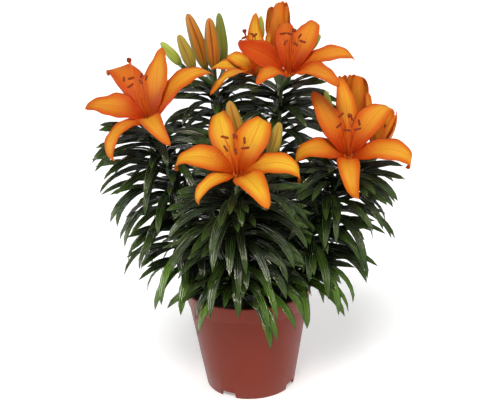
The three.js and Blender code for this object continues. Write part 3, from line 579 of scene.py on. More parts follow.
underside = [
    (0.5, 0), (8.6, 0), (9.2, 0.8), (10, 7), (46.8, 7), (47.9, 6.4), (inner_radius(0) + 0.1, 0.3),
    (inner_radius(0) + 0.4, 0), (wall_radius(0) - 1.3, 0), (wall_radius(0) - STEP, 0.5)]
outside = [(wall_radius(z) - STEP, z) for z in (30, 62, BAND_FOOT - 2.4)]
groove = [(wall_radius(BAND_FOOT) + r, BAND_FOOT + z) for r, z in (
    (-1.3, -1.6), (-1.3, -0.4), (-0.2, 0), (0.2, 0.8))]
rim = [(RIM_RADIUS - r, POT_HEIGHT - z) for r, z in (
    (0.4, 3.2), (0, 1.4), (0.1, 0.5), (0.7, 0), (2.2, 0), (2.8, 0.6))]
inside = [(inner_radius(z), z) for z in (POT_HEIGHT - 6, 50, 11)]
inside += [(inner_radius(9) - 1.4, 9), (0.5, 9)]
pot = turned_shape("pot_blank", underside + outside + groove + rim + inside, 96, MM)
print("pot blank:", [round(v * 1000, 1) for v in pot.dimensions])

# %% Notches and drain holes
NOTCH = (24, 17, 13)
for turn in (-120, -30, 60, 150):
    bpy.ops.mesh.primitive_cube_add(size=1, location=(FOOT_RADIUS * MM, 0, 0))
    notch = bpy.context.object
    notch.dimensions = [side * MM for side in NOTCH]
    bpy.ops.object.transform_apply(location=True, rotation=True, scale=True)
    edit_all(notch)
    bpy.ops.mesh.bevel(offset=1.2 * MM, segments=3, affect="EDGES")
    bpy.ops.object.mode_set(mode="OBJECT")
    bpy.ops.mesh.primitive_cylinder_add(
        vertices=24, radius=5 * MM, depth=12 * MM, location=(34 * MM, 0, 8 * MM))
    drain = bpy.context.object
    bpy.ops.object.transform_apply(location=True, rotation=True, scale=True)
    for cutter in (notch, drain):
        cutter.data.transform(Matrix.Rotation(math.radians(turn), 4, "Z"))
        select_only(pot)
        cut = pot.modifiers.new("cut", "BOOLEAN")
        cut.operation = "DIFFERENCE"
        cut.solver = "EXACT"
        cut.object = cutter
        bpy.ops.object.modifier_apply(modifier=cut.name)
        bpy.data.objects.remove(cutter)
finish(pot, "nursery_pot", [pot_plastic], ["pot"])
bpy.ops.object.shade_smooth_by_angle(angle=math.radians(38))

# %% [markdown]
# ## Soil
# Peat fills the pot to 14 mm under its rim. The fill is turned like the pot, in many close rings on
# top, and a noise texture then lifts and sinks them by a millimetre or two, as fingers leave it.
# Loose crumbs lie on it: one small icosphere is copied a few hundred times, each turned and
# stretched by a fixed scatter, so that the script makes the same soil every time. A golden turn of
# 137.5 degrees from each to the next spreads them evenly.

# %% A fixed scatter
GOLDEN_TURN = 137.5


def scatter(index, salt, reach):
    """A fixed, even scatter of values between -reach and reach, the same as in the solids."""
    wide = math.sin(index * 12.9898 + salt * 78.233) * 43758.5453
    return (2 * (wide - math.floor(wide)) - 1) * reach


print("the first of a scatter:", [round(scatter(k, 1, 1), 2) for k in range(4)])

# %% Many copies of one model
def points_of(model):
    places = np.empty(len(model.data.vertices) * 3)
    model.data.vertices.foreach_get("co", places)
    return places.reshape(-1, 3)


def copies(name, model, shapes, marks=None):
    """One piece of many copies of a model: each shape is where the model's points go. marks holds
    numbers for the material by name, one or three for every point."""
    count = len(model.data.vertices)
    faces = [tuple(face.vertices) for face in model.data.polygons]
    mesh = bpy.data.meshes.new(name)
    mesh.from_pydata(
        np.concatenate(shapes).tolist(), [],
        [tuple(v + k * count for v in face) for k in range(len(shapes)) for face in faces])
    if model.data.uv_layers:
        corners = np.empty(len(model.data.loops) * 2)
        model.data.uv_layers.active.data.foreach_get("uv", corners)
        layer = mesh.uv_layers.new(name="UVMap")
        layer.data.foreach_set("uv", np.tile(corners, len(shapes)))
    for mark, values in (marks or {}).items():
        numbers = np.concatenate(values).astype(np.float32)
        kind, field = ("FLOAT", "value") if numbers.ndim == 1 else ("FLOAT_VECTOR", "vector")
        mesh.attributes.new(mark, kind, "POINT").data.foreach_set(field, numbers.ravel())
    piece = bpy.data.objects.new(name, mesh)
    bpy.context.scene.collection.objects.link(piece)
    return piece


def joined(pieces):
    """Joins pieces into the first one."""
    bpy.ops.object.select_all(action="DESELECT")
    for piece in pieces:
        piece.select_set(True)
    bpy.context.view_layer.objects.active = pieces[0]
    bpy.ops.object.join()
    return pieces[0]


# %% Soil
SOIL_FOOT = 9.3
SOIL_TOP = 102
SOIL_GAP = 0.3  # between the soil and the pot
SOIL_RADIUS = inner_radius(SOIL_TOP) - SOIL_GAP
RINGS = 32
soil_levels = [(0.5, SOIL_FOOT), (inner_radius(SOIL_FOOT) - 1.8, SOIL_FOOT)]
soil_levels += [(inner_radius(z) - SOIL_GAP, z) for z in (12, 60, SOIL_TOP - 1)]
soil_levels += [(SOIL_RADIUS * k / RINGS, SOIL_TOP) for k in range(RINGS - 1, 0, -1)]
soil = turned_shape("soil_blank", soil_levels, 90, MM)


def soil_height(x, y):
    """The height of the soil, in metres, with lumps of 18 mm and of 5 mm."""
    lumps = noise.noise(Vector((x * 55, y * 55, 3.1))) * 1.5
    return SOIL_TOP * MM + (lumps + noise.noise(Vector((x * 190, y * 190, 7.7))) * 0.8) * MM


for vertex in soil.data.vertices:
    if vertex.co.z > (SOIL_TOP - 0.5) * MM:
        vertex.co.z = soil_height(vertex.co.x, vertex.co.y)

# %% Crumbs
CRUMBS = 420
bpy.ops.mesh.primitive_ico_sphere_add(subdivisions=1, radius=1)
crumb = bpy.context.object
crumb_points = points_of(crumb)
crumb_shapes = []
for k in range(CRUMBS):
    angle = k * math.radians(GOLDEN_TURN)
    distance = (SOIL_RADIUS - 2.5) * math.sqrt((k + 0.5) / CRUMBS) * MM
    x, y = distance * math.cos(angle), distance * math.sin(angle)
    size = (0.9 + 0.5 * scatter(k, 1, 1)) * MM
    turn = Matrix.Rotation(scatter(k, 2, 3), 3, "X") @ Matrix.Rotation(scatter(k, 3, 3), 3, "Z")
    stretched = crumb_points * (1, 0.75 + scatter(k, 4, 0.2), 0.6)
    crumb_shapes.append(
        stretched @ np.array(turn) * size + (x, y, soil_height(x, y) + 0.2 * size))
crumbs = copies("soil_crumbs", crumb, crumb_shapes)
bpy.data.objects.remove(crumb)
finish(joined([soil, crumbs]), "peat_soil", [peat], ["soil"])

# %% [markdown]
# ## The five stems
# Each stem bends from its bulb to its top along a curve with four control points, which is just
# what one Bezier segment with its two handles is. So a stem is a Bezier curve with a round bevel
# that tapers from 9 mm thick at the soil to 7 mm at the top, made a mesh. The stalks of flowers and
# buds are made the same way. The measures are those of the solids: the path, how much of the stem
# above the soil is bare, how many leaves it has, how long they are, and where the first one points.

# %% Measures of the plants
PLANTS = {
    "left": dict(
        path=((-33, -3, 60), (-36, -4, 150), (-74, -10, 230), (-92, -15, 290)),
        bare=28, leaves=75, leaf_length=98, turn=20),
    "back_left": dict(
        path=((-12, 31, 60), (-12, 34, 160), (-22, 48, 250), (-29, 57, 328)),
        bare=12, leaves=72, leaf_length=94, turn=75),
    "back_right": dict(
        path=((27, 25, 60), (27, 25, 150), (34, 26, 240), (40, 23, 328)),
        bare=12, leaves=84, leaf_length=96, turn=140),
    "front": dict(
        path=((-9, -33, 60), (-9, -34, 140), (-9, -66, 200), (-7, -80, 250)),
        bare=5, leaves=93, leaf_length=98, turn=250),
    "right": dict(
        path=((32, -11, 60), (36, -12, 140), (82, -18, 200), (106, -19, 250)),
        bare=10, leaves=96, leaf_length=98, turn=305),
}
LEAVES_PER_RING = 3
print("stems:", len(PLANTS), "steps for leaves:", sum(p["leaves"] for p in PLANTS.values()))


# %% A stem along a bend
def on_bend(path, s):
    """The place on a bend with four control points, and the way along it."""
    a, b, c, d = (np.array(p, float) for p in path)
    r = 1 - s
    place = a * r ** 3 + 3 * b * r * r * s + 3 * c * r * s * s + d * s ** 3
    along = (b - a) * r * r + 2 * (c - b) * r * s + (d - c) * s * s
    return place, along / np.linalg.norm(along)


def tube(name, path, radii):
    """A round tube along a bend, with closed ends, in metres."""
    bpy.ops.curve.primitive_bezier_curve_add(radius=1, location=(0, 0, 0))
    curve = bpy.context.object
    curve.name = name
    first, last = curve.data.splines[0].bezier_points
    for point, radius in zip((first, last), radii):
        point.handle_left_type = point.handle_right_type = "FREE"
        point.radius = radius
    a, b, c, d = (Vector(p) * MM for p in path)
    first.co, first.handle_left, first.handle_right = a, a * 2 - b, b
    last.co, last.handle_left, last.handle_right = d, c, d * 2 - c
    curve.data.dimensions = "3D"
    curve.data.resolution_u = 24
    curve.data.bevel_depth = MM
    curve.data.bevel_resolution = 3
    curve.data.use_fill_caps = True
    bpy.ops.object.convert(target="MESH")
    shape = bpy.context.object
    close_up(shape, merge=0.01 * MM)
    return shape


# %% Where the leaves of each stem begin
def share_at_height(path, height):
    """How far up its bend a stem passes a height."""
    low, high = 0.0, 1.0
    for _ in range(30):
        half = (low + high) / 2
        if on_bend(path, half)[0][2] < height:
            low = half
        else:
            high = half
    return low


for plant in PLANTS.values():
    plant["first_leaf"] = share_at_height(plant["path"], SOIL_TOP + plant["bare"])
    plant["rings"] = math.ceil(plant["leaves"] / LEAVES_PER_RING)
print("first leaves at", {k: round(p["first_leaf"], 2) for k, p in PLANTS.items()})

# %% [markdown]
# ## Leaves
# A leaf is modelled once, flat: a grid that is stretched to a blade and given thickness with the
# Solidify modifier. Each copy is then bent into place. It leaves the stem at a rise above the level
# and droops along its length, and the same rule as in the solids gives every leaf its turn, a
# golden turn after the one before. Leaves are longest a third of the way up the stem and a quarter
# shorter at its top, where they droop less and twist more. In the solids a leaf that would hit
# something was turned aside or left out, so for each leaf the script looks where the solid really
# has a tip.

# %% One flat blade
def flat_blade(name, across, along):
    """A flat lens: X runs across from -1 to 1, Y along from 0 to 1, and Z through from -0.5 to 0.5.
    Its two skins meet in a sharp edge."""
    bpy.ops.mesh.primitive_grid_add(x_subdivisions=across, y_subdivisions=along, size=2)
    shape = bpy.context.object
    shape.name = name
    edit_all(shape)
    bpy.ops.transform.resize(value=(1, 0.5, 1), center_override=(0, 0, 0))
    bpy.ops.transform.translate(value=(0, 0.5, 0))
    bpy.ops.object.mode_set(mode="OBJECT")
    thicken = shape.modifiers.new("thicken", "SOLIDIFY")
    thicken.thickness = 1
    thicken.offset = 0
    thicken.use_rim = False
    bpy.ops.object.modifier_apply(modifier=thicken.name)
    for vertex in shape.data.vertices:
        x, y = vertex.co.x, vertex.co.y
        if abs(x) > 0.999 or y < 0.001 or y > 0.999:
            vertex.co.z = 0
    close_up(shape, merge=0.001)
    print(name, "faces:", len(shape.data.polygons))
    return shape


leaf_blade = flat_blade("leaf_blade", 4, 10)
leaf_points = points_of(leaf_blade)


# %% The line of a leaf
LEAF_STEPS = 12  # straight steps that the bend is summed from, as in the solids


def unit(v):
    return v / np.linalg.norm(v, axis=-1, keepdims=True)


def turned_about(v, axis, degrees):
    """Vectors square to their axes, turned about them."""
    angle = np.radians(degrees)
    return v * np.cos(angle) + np.cross(axis, v) * np.sin(angle)


def leaf_frames(leaf, s):
    """The place, the way across and the upper side of a leaf at shares of its length."""
    def heading(t):
        return (np.radians(leaf["rise"] - leaf["droop"] * t ** 1.15),
            np.radians(leaf["turn"] + leaf["sway"] * t))

    t = s[:, None] * (np.arange(LEAF_STEPS) + 0.5) / LEAF_STEPS
    rise, turn = heading(t)
    step = (leaf["length"] * s / LEAF_STEPS)[:, None]
    place = leaf["root"] + np.stack([
        (np.cos(rise) * np.cos(turn) * step).sum(1),
        (np.cos(rise) * np.sin(turn) * step).sum(1),
        (np.sin(rise) * step).sum(1)], axis=1)
    rise, turn = heading(s)
    along = np.stack(
        [np.cos(rise) * np.cos(turn), np.cos(rise) * np.sin(turn), np.sin(rise)], axis=1)
    across = np.stack([-np.sin(turn), np.cos(turn), 0 * turn], axis=1)
    twist = leaf["roll"] + leaf["face"] * np.cos(turn) * s
    across = turned_about(across, along, twist[:, None])
    return place, across, np.cross(along, across)


# %% The blade of a leaf
def bent_leaf(leaf, index):
    """The points of the flat blade, bent into a leaf, in metres. It is broadest in its middle, a
    channel with waved edges and a sunk midrib, and thinner towards its edges and its tip."""
    u, s, h = leaf_points.T
    place, across, upper = leaf_frames(leaf, s)
    half = leaf["width"] / 2 * 1.56 * (s + 0.02) ** 0.52 * np.maximum(1 - s, 0) ** 0.56
    half = np.maximum(half, 0.12)
    edge = np.abs(u)
    channel = half * 0.36 * edge ** 1.5
    wave = 0.35 * np.sin(14 * s + index) * edge ** 2 * np.sin(np.pi * s) * np.sign(u)
    midrib = 0.3 * np.exp(-(u / 0.16) ** 2) * (1 - s) ** 0.5
    thick = 0.2 + 0.65 * (1 - edge ** 2) * (1 - 0.6 * s)
    rise = channel + wave - midrib + h * thick - 0.25
    return (place - across * (u * half)[:, None] + upper * rise[:, None]) * MM


# %% The leaf that the rule gives
LEAF_WIDTH = 13.5


def wanted_leaf(plant, i):
    """The leaf that the rule gives at a step up the stem."""
    high = i / (plant["leaves"] - 1)
    seed = i + plant["turn"]
    length = plant["leaf_length"] * (0.92 + 0.3 * high - 0.48 * high * high)
    return dict(
        turn=plant["turn"] + GOLDEN_TURN * i + scatter(seed, 1, 12),
        rise=32 - 30 * high + 22 * high * high + scatter(seed, 2, 8),
        droop=112 - 50 * high * high + scatter(seed, 3, 12),
        sway=scatter(seed, 4, 18),
        roll=scatter(seed, 5, 16),
        face=36 + 26 * high,
        length=length * (1 + scatter(seed, 6, 0.08)),
        width=LEAF_WIDTH * (1 + scatter(seed, 8, 0.14)) * (1 - 0.15 * high))


# %% The leaf that the solid has
SAME_PLACE = 0.05 * MM
TIP = np.array([1.0])


def leaf_in_solid(plant, i, solid_points):
    """The leaf as the solid has it, or None if it was left out. It may have been turned aside by
    5 degrees at a time, lifted and shortened."""
    wanted = wanted_leaf(plant, i)
    ring = i // LEAVES_PER_RING
    for k in range(21):
        aside = math.ceil(k / 2) * (1 if k % 2 == 0 else -1)
        turn = wanted["turn"] + 5 * aside
        right = math.floor((turn % 360) / 30) % 2
        up_stem = (ring + (1 / 3 if right else 2 / 3)) / plant["rings"]
        share = plant["first_leaf"] + (1 - plant["first_leaf"]) * up_stem
        leaf = dict(
            wanted, turn=turn,
            root=on_bend(plant["path"], share)[0],
            rise=wanted["rise"] + 3 * aside,
            droop=wanted["droop"] - 3 * abs(aside),
            length=wanted["length"] * (1 - 0.03 * abs(aside)))
        tip = leaf_frames(leaf, TIP)[0][0] * MM
        if solid_points.find(tip)[2] < SAME_PLACE:
            return leaf
    return None


# %% [markdown]
# ## Leaves in between
# The solids carry only some of a real plant's leaves. The rest are added here by the same rule: one
# at half a step, and two in each of the last steps, where a lily is most crowded. They are a
# seventh shorter and have half the droop, so that they fill the outline of the others, and they
# only grow where they keep 3 mm away from flowers, buds and pot. A BVH tree finds the nearest face
# of those quickly.

# %% Leaves in between
CLEARANCE = 3
OVER_RIM = POT_HEIGHT + 6
SHORTER = 0.86
LESS_DROOP = 0.5
BESIDE = 4  # how far on both sides of its middle line a leaf is tested too


def tree_of(nodes):
    """One search tree over the faces of several solids."""
    points, faces = [], []
    for solid in nodes:
        faces += [[len(points) + v for v in face.vertices] for face in solid.data.polygons]
        points += [solid.matrix_world @ vertex.co for vertex in solid.data.vertices]
    return BVHTree.FromPolygons(points, faces)


in_the_way = [o for n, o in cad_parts.items() if not n.startswith(("plant_", "soil"))]
others = tree_of(in_the_way)
print("solids that leaves in between keep clear of:", len(in_the_way))


def leaf_between(plant, i):
    """The leaf at a step that isn't whole, or None if it would touch something else."""
    share = plant["first_leaf"] + (1 - plant["first_leaf"]) * i / plant["leaves"]
    wanted = wanted_leaf(plant, i)
    leaf = dict(
        wanted, root=on_bend(plant["path"], share)[0],
        turn=wanted["turn"] + scatter(i, 11, 20), rise=wanted["rise"] + scatter(i, 12, 16),
        length=wanted["length"] * SHORTER, droop=wanted["droop"] * LESS_DROOP)
    place, across, _ = leaf_frames(leaf, np.linspace(0.12, 1, 12))
    if place[-1][2] < OVER_RIM:
        return None
    edges = [place + across * BESIDE, place - across * BESIDE]
    for point in np.concatenate([place, *edges]) * MM:
        if others.find_nearest(point, CLEARANCE * MM)[0] is not None:
            return None
    return leaf


# %% [markdown]
# ## Flowers and buds
# Every flower sits on its own base and looks its own way. Its six petals leave the axis by the cup
# angle, open by the flare and turn back at the tip by the curl, and each has its own turn about the
# axis, so that no two flowers are alike. These measures are those of the solids. Three are the
# scene's own: blunt makes a petal broader near its tip, wavy sets how much of its waves it has, and
# red is how far its orange has turned to red.

# %% Measures of the open flowers
OPEN = dict(
    reach=1, lean=4, spread=10, blunt=0.6, wavy=1.15,
    inner=dict(width=28, share=1, cup=-3, flare=1, channel=0.3, foot=(4.2, 3.3)),
    outer=dict(width=22, share=1, cup=3, flare=1, channel=0, foot=(3, 1.5)))
FLOWERS = {
    "left": dict(
        plant="left", base=(-92.5, -30, 306), faces=(-0.17, -0.45, 0.88), size=0.99, pistil=1.2,
        cup=36, flare=46, curl=60, red=0.42, petals=(
            dict(turn=35, share=1.19, flare=4, curl=9, bend=-9, wide=1.3),
            dict(turn=61, share=0.96, flare=-2, curl=-63, bend=19),
            dict(turn=104, share=1.33, flare=18, curl=-6, bend=33, wide=1.3, red=0.75),
            dict(turn=175, share=0.88, flare=37, curl=-86, bend=-13, wide=1.3, hook=40),
            dict(turn=233, share=1.09, flare=16, curl=61, bend=4, wide=0.87),
            dict(turn=275, share=1.03, flare=13, curl=-7, bend=34, wide=0.81))),
    "top_front": dict(
        plant="back_right", base=(49, 4, 344), faces=(0.05, -0.6, 0.8), size=0.94,
        cup=32, flare=50, curl=45, red=0.6, petals=(
            dict(turn=10, share=1.09, flare=4, curl=27, bend=-8, wide=1.09),
            dict(turn=49, share=0.92, flare=7, curl=-2, bend=25),
            dict(turn=107, flare=15, curl=18, bend=-34, wide=1.04, red=0.85),
            dict(turn=183, share=0.95, flare=1, curl=-77, bend=7, twist=-45, wide=1.12, red=1),
            dict(turn=225, share=1.03, flare=-26, curl=-2, bend=17),
            dict(turn=310, flare=3, curl=-9, bend=5))),
    "top_left": dict(
        plant="back_right", base=(19, 44, 339), faces=(-0.26, -0.4, 0.88), size=0.87,
        cup=34, flare=46, curl=48, red=0.1, petals=(
            dict(turn=81, share=1.04, flare=-34, curl=-11, bend=-4, twist=60),
            dict(turn=150, share=0.56, flare=-24, curl=-1, bend=3),
            dict(turn=170, share=0.84, flare=6, curl=-3, bend=-4),
            dict(turn=238, share=1.13, flare=25, curl=-27, bend=-18, wide=0.71),
            dict(turn=298, share=0.69, flare=-35, curl=-53, bend=-3),
            dict(turn=378, share=0.73, flare=-46, curl=-63, bend=4))),
    "front": dict(
        plant="front", base=(-6.5, -76, 260.5), faces=(-0.02, -0.66, 0.75), size=0.98,
        cup=33, flare=55, curl=75, red=0.08, petals=(
            dict(turn=1, share=1.05, flare=-4, curl=57, bend=-22, wide=1.16),
            dict(turn=50, share=0.9, flare=10, curl=-10, bend=26, wide=1.22),
            dict(turn=125, flare=11, curl=-19, bend=-46, wide=1.26),
            dict(turn=164, share=0.95, flare=19, curl=-36, bend=26, wide=0.93, hook=110),
            dict(turn=212, share=0.87, curl=42, bend=16, wide=0.7),
            dict(turn=294, flare=-12, curl=-27, bend=1))),
    "right_front": dict(
        plant="right", base=(106.5, -30, 263), faces=(-0.07, -0.61, 0.79), size=1.01,
        cup=34, flare=50, curl=62, red=0.4, petals=(
            dict(turn=-17, share=1.08, flare=-2, curl=40, bend=-10, wide=1.29, hook=70),
            dict(turn=46, flare=6, curl=16, bend=-6),
            dict(turn=82, share=1.08, flare=-12, curl=-47, bend=18),
            dict(turn=134, share=0.95, flare=-10, curl=-32, bend=-28, wide=0.94, red=0.55),
            dict(turn=172, share=0.93, flare=14, curl=64, bend=26, wide=1.19),
            dict(turn=255, flare=5, curl=21, bend=28, wide=0.79, hook=50))),
}
print("open flowers:", len(FLOWERS))

# %% Measures of the half-open flowers
HALF_OPEN = dict(
    reach=0.84, lean=2, spread=2, blunt=1.8, wavy=0.25,
    inner=dict(width=19, share=0.86, cup=-9, flare=0.6, channel=0.4, foot=(4.2, 3.3)),
    outer=dict(width=26, share=1, cup=3, flare=1, channel=0.5, foot=(3, 1.5)))
FLOWERS |= {
    "right_back": dict(
        plant="right", base=(144, 24, 252.5), faces=(0.17, -0.03, 0.99), size=0.67, half=True,
        cup=26, flare=-26, curl=14, red=0.5, petals=(
            dict(turn=-9, curl=-41, bend=-6),
            dict(turn=56, share=1.05, flare=3, bend=-7),
            dict(turn=130, share=1.26, flare=12, curl=-14),
            dict(turn=180),
            dict(turn=240),
            dict(turn=299, share=1.03, bend=7))),
    "top_opening": dict(
        plant="back_right", base=(40.5, 65, 358), faces=(0.06, -0.04, 1), size=0.74, half=True,
        cup=26, flare=-52, curl=4, red=0.45, petals=(
            dict(turn=20),
            dict(turn=80, share=1.1, curl=9, bend=-4),
            dict(turn=129, share=0.9, flare=17, curl=-13, bend=6, wide=1.09),
            dict(turn=200, flare=-3, curl=5),
            dict(turn=258),
            dict(turn=321, share=1.04, flare=5))),
    "right_opening": dict(
        plant="right", base=(122, 54, 280), faces=(0.05, -0.04, 1), size=0.79, half=True,
        cup=29, flare=-50, curl=-8, red=0.4, petals=(
            dict(turn=35, share=0.9, flare=10, curl=-26, bend=-9),
            dict(turn=87, bend=3),
            dict(turn=139, share=0.9, flare=7, curl=5, bend=8, wide=1.05),
            dict(turn=210, share=1.03),
            dict(turn=273, share=0.94, curl=12),
            dict(turn=329, curl=-5))),
}
print("flowers in all:", len(FLOWERS))

# %% [markdown]
# A bud runs from its base to its tip and has a radius. Two numbers steer its colour: ripe runs from
# green at 0 to orange at 1, and deep from pale green at 0 to dark green at 1.

# %% Measures of the buds
BUDS = {
    "left_1": dict(
        plant="back_left", base=(-66, 56, 352), tip=(-86, 54, 377), radius=6, ripe=0, deep=0),
    "left_2": dict(
        plant="back_left", base=(-52, 50, 347), tip=(-66, 47, 385), radius=7.5, ripe=0.45),
    "left_3": dict(
        plant="back_left", base=(-40, 72, 345), tip=(-57, 72, 405), radius=9, ripe=0.85, turn=12),
    "left_4": dict(plant="back_left", base=(-30, 59, 346), tip=(-33, 56, 401), radius=9, ripe=0.9),
    "left_5": dict(
        plant="back_left", base=(-20, 78, 346), tip=(-23, 84, 404), radius=7, ripe=0.1, deep=0.8),
    "front_1": dict(
        plant="front", base=(-3, -42, 272), tip=(-13, -44, 328), radius=9.5, ripe=0.7, turn=8),
    "front_2": dict(plant="front", base=(25, -50, 272), tip=(36, -48, 306), radius=7.5, ripe=0.5),
    "right_1": dict(plant="right", base=(92, -2, 300), tip=(86, 0, 328), radius=4.5, ripe=0),
    "top_1": dict(
        plant="back_right", base=(23, 76, 374), tip=(23, 78, 400), radius=4, ripe=0, deep=0),
    "top_2": dict(
        plant="back_right", base=(70, 50, 362), tip=(86, 52, 380), radius=5, ripe=0, deep=0.7),
}
print("buds:", len(BUDS))

# %% Stalks
SEAT = 0.3  # between a stalk and what sits on it, as in the solids
STALK_ROOT = 0.97  # the share of the stem where its stalks begin
PULL = 0.3  # how far a stalk runs straight at both ends, as a share of its reach


def stalks_of(name):
    """The bends of the stalks from the top of a stem to its flowers and buds."""
    ends = [(f["base"], f["faces"]) for f in FLOWERS.values() if f["plant"] == name]
    ends += [(b["base"], np.subtract(b["tip"], b["base"]))
        for b in BUDS.values() if b["plant"] == name]
    top, rise = on_bend(PLANTS[name]["path"], STALK_ROOT)
    bends = []
    for base, axis in ends:
        axis = unit(np.array(axis, float))
        reach = np.linalg.norm(base - top)
        end = base - axis * SEAT
        bends.append((top, top + rise * PULL * reach, end - axis * PULL * reach, end))
    return bends


print("stalks:", {name: len(stalks_of(name)) for name in PLANTS})

# %% [markdown]
# ## Growing the five plants
# A bulb is a squat onion of fleshy scales, turned once and copied into the soil under each stem.
# Bulb, stem, stalks and leaves of one plant are joined in one piece, as they grew. Each leaf has a
# tone of its own, and those that hang over the rim have the highest, which is painted light that
# makes them a lighter green.

# %% Bulb
BULB_FOOT = 22
bulb_model = turned_shape("bulb_model", [
    (2, 0), (5.5, 0.3), (9.5, 2.5), (13.8, 7), (16.2, 13), (16.5, 17), (15.4, 22), (12.6, 28),
    (9, 33.5), (6, 38), (4.6, 42)], 24, MM)
bulb_points = points_of(bulb_model)

# %% The leaves of one plant
CROWDED = 0.85  # the share of the steps after which two leaves in between grow at each
# The tone that paints light on the leaves that hang over the rim.
PAINTED_LIGHT_TONE = 1.3


def leaves_of(name, plant):
    """All leaves of a plant in one piece: those that its solid has, and those in between."""
    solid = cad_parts["plant_" + name]
    solid_points = KDTree(len(solid.data.vertices))
    for k, vertex in enumerate(solid.data.vertices):
        solid_points.insert(vertex.co, k)
    solid_points.balance()
    steps = range(plant["leaves"])
    found = [leaf_in_solid(plant, i, solid_points) for i in steps]
    found += [leaf_between(plant, i + part) for i in steps
        for part in ((0.33, 0.67) if i > plant["leaves"] * CROWDED else (0.5,))]
    grown = [(i, leaf) for i, leaf in enumerate(found) if leaf]
    between = sum(i >= len(steps) for i, _ in grown)
    print(name, "leaves of the solid:", len(grown) - between, "in between:", between)
    hangs = [leaf_frames(leaf, TIP)[0][0][2] < OVER_RIM for _, leaf in grown]
    # Leaves that hang over the rim get the tone of painted light.
    leaves = copies("leaves_" + name, leaf_blade, [bent_leaf(leaf, i) for i, leaf in grown], {
        "tone": [np.full(len(leaf_points), PAINTED_LIGHT_TONE if low else 0.6 + scatter(i, 9, 0.5))
            for (i, _), low in zip(grown, hangs)],
        "under": [np.where(leaf_points[:, 2] < 0, 1.0, 0.0)] * len(grown)})
    leaves.data.materials.append(leaf_green)
    return leaves


# %% Plants
STEM_RADII = (4.6, 3.4)
STALK_RADII = (2.1, 2.6)
for name, plant in PLANTS.items():
    foot = Vector((*plant["path"][0][:2], BULB_FOOT)) * MM
    rods = [copies("bulb_" + name, bulb_model, [bulb_points + np.array(foot)])]
    rods.append(tube("stem_" + name, plant["path"], STEM_RADII))
    rods += [tube(f"stalk_{name}_{k}", bend, STALK_RADII)
        for k, bend in enumerate(stalks_of(name))]
    for rod in rods:
        rod.data.materials.clear()
        rod.data.materials.append(stem_green)
    plant_piece = joined([leaves_of(name, plant)] + rods)
    finish(plant_piece, "lily_" + name, [], ["plant_" + name])

# %% [markdown]
# ## Petals
# A petal is modelled once as a flat blade with more cuts than a leaf has, because its edge is wavy
# and its middle is a furrow between two low ridges. Each copy is bent by its own angles.

# %% One flat petal
CUP_HEIGHT = 4
petal_blade = flat_blade("petal_blade", 14, 30)
petal_points = points_of(petal_blade)
petal_cup = turned_shape("petal_cup", [
    (2.7, 0), (3.3, 0.5), (4.4, 1.9), (5, 3.2), (4.9, 3.9), (4.2, CUP_HEIGHT)], 24, MM)
cup_points = points_of(petal_cup)


# %% The line of a petal
PETAL_LENGTH = 78
PETAL_STEPS = 16  # straight steps that the bend is summed from, as in the solids


def square_to(axis):
    """Two ways square to an axis and to each other."""
    across = unit(np.array([1.0, 0, 0]) - axis * axis[0])
    return across, np.cross(axis, across)


def petal_frames(flower, petal, s):
    """The place, the way across and the inner side of a petal at shares of its length."""
    axis = unit(np.array(flower["faces"], float))
    east, north = square_to(axis)
    angle = math.radians(petal["turn"])
    out = east * math.cos(angle) + north * math.sin(angle)
    side = north * math.cos(angle) - east * math.sin(angle)

    def lean(t):
        return np.radians(
            petal["cup"] + petal["flare"] * t + petal["curl"] * t ** 3 + petal["hook"] * t ** 9)

    t = s[:, None] * (np.arange(PETAL_STEPS) + 0.5) / PETAL_STEPS
    step = (petal["length"] * s / PETAL_STEPS)[:, None]
    place = np.array(flower["base"]) + out * petal["foot"][0] + axis * petal["foot"][1]
    place = place + axis * (np.cos(lean(t)) * step).sum(1)[:, None]
    place = place + out * (np.sin(lean(t)) * step).sum(1)[:, None]
    place = place + side * (np.sin(np.radians(petal["bend"] * t)) * step).sum(1)[:, None]
    along = unit(axis * np.cos(lean(s))[:, None] + out * np.sin(lean(s))[:, None]
        + side * np.sin(np.radians(petal["bend"] * s))[:, None])
    across = unit(side - along * (along @ side)[:, None])
    across = turned_about(across, along, (petal["twist"] * s)[:, None])
    return place, across, np.cross(along, across)


# %% The measures of a flower's petals
def petals_of(flower):
    """The measures of the six petals of a flower: three outer ones and three inner ones in turn."""
    stage = HALF_OPEN if flower.get("half") else OPEN
    for i, own in enumerate(flower["petals"]):
        row = stage["inner"] if i % 2 == 1 else stage["outer"]
        yield i, dict(
            {name: own.get(name, 0) for name in ("turn", "bend", "twist", "hook")},
            length=PETAL_LENGTH * flower["size"] * row["share"] * own.get("share", 1),
            width=row["width"] * flower["size"] * own.get("wide", 1),
            cup=flower["cup"] + row["cup"],
            flare=flower["flare"] * row["flare"] + own.get("flare", 0),
            curl=flower["curl"] + own.get("curl", 0),
            channel=row["channel"], foot=row["foot"],
            blunt=stage["blunt"], wavy=stage["wavy"])


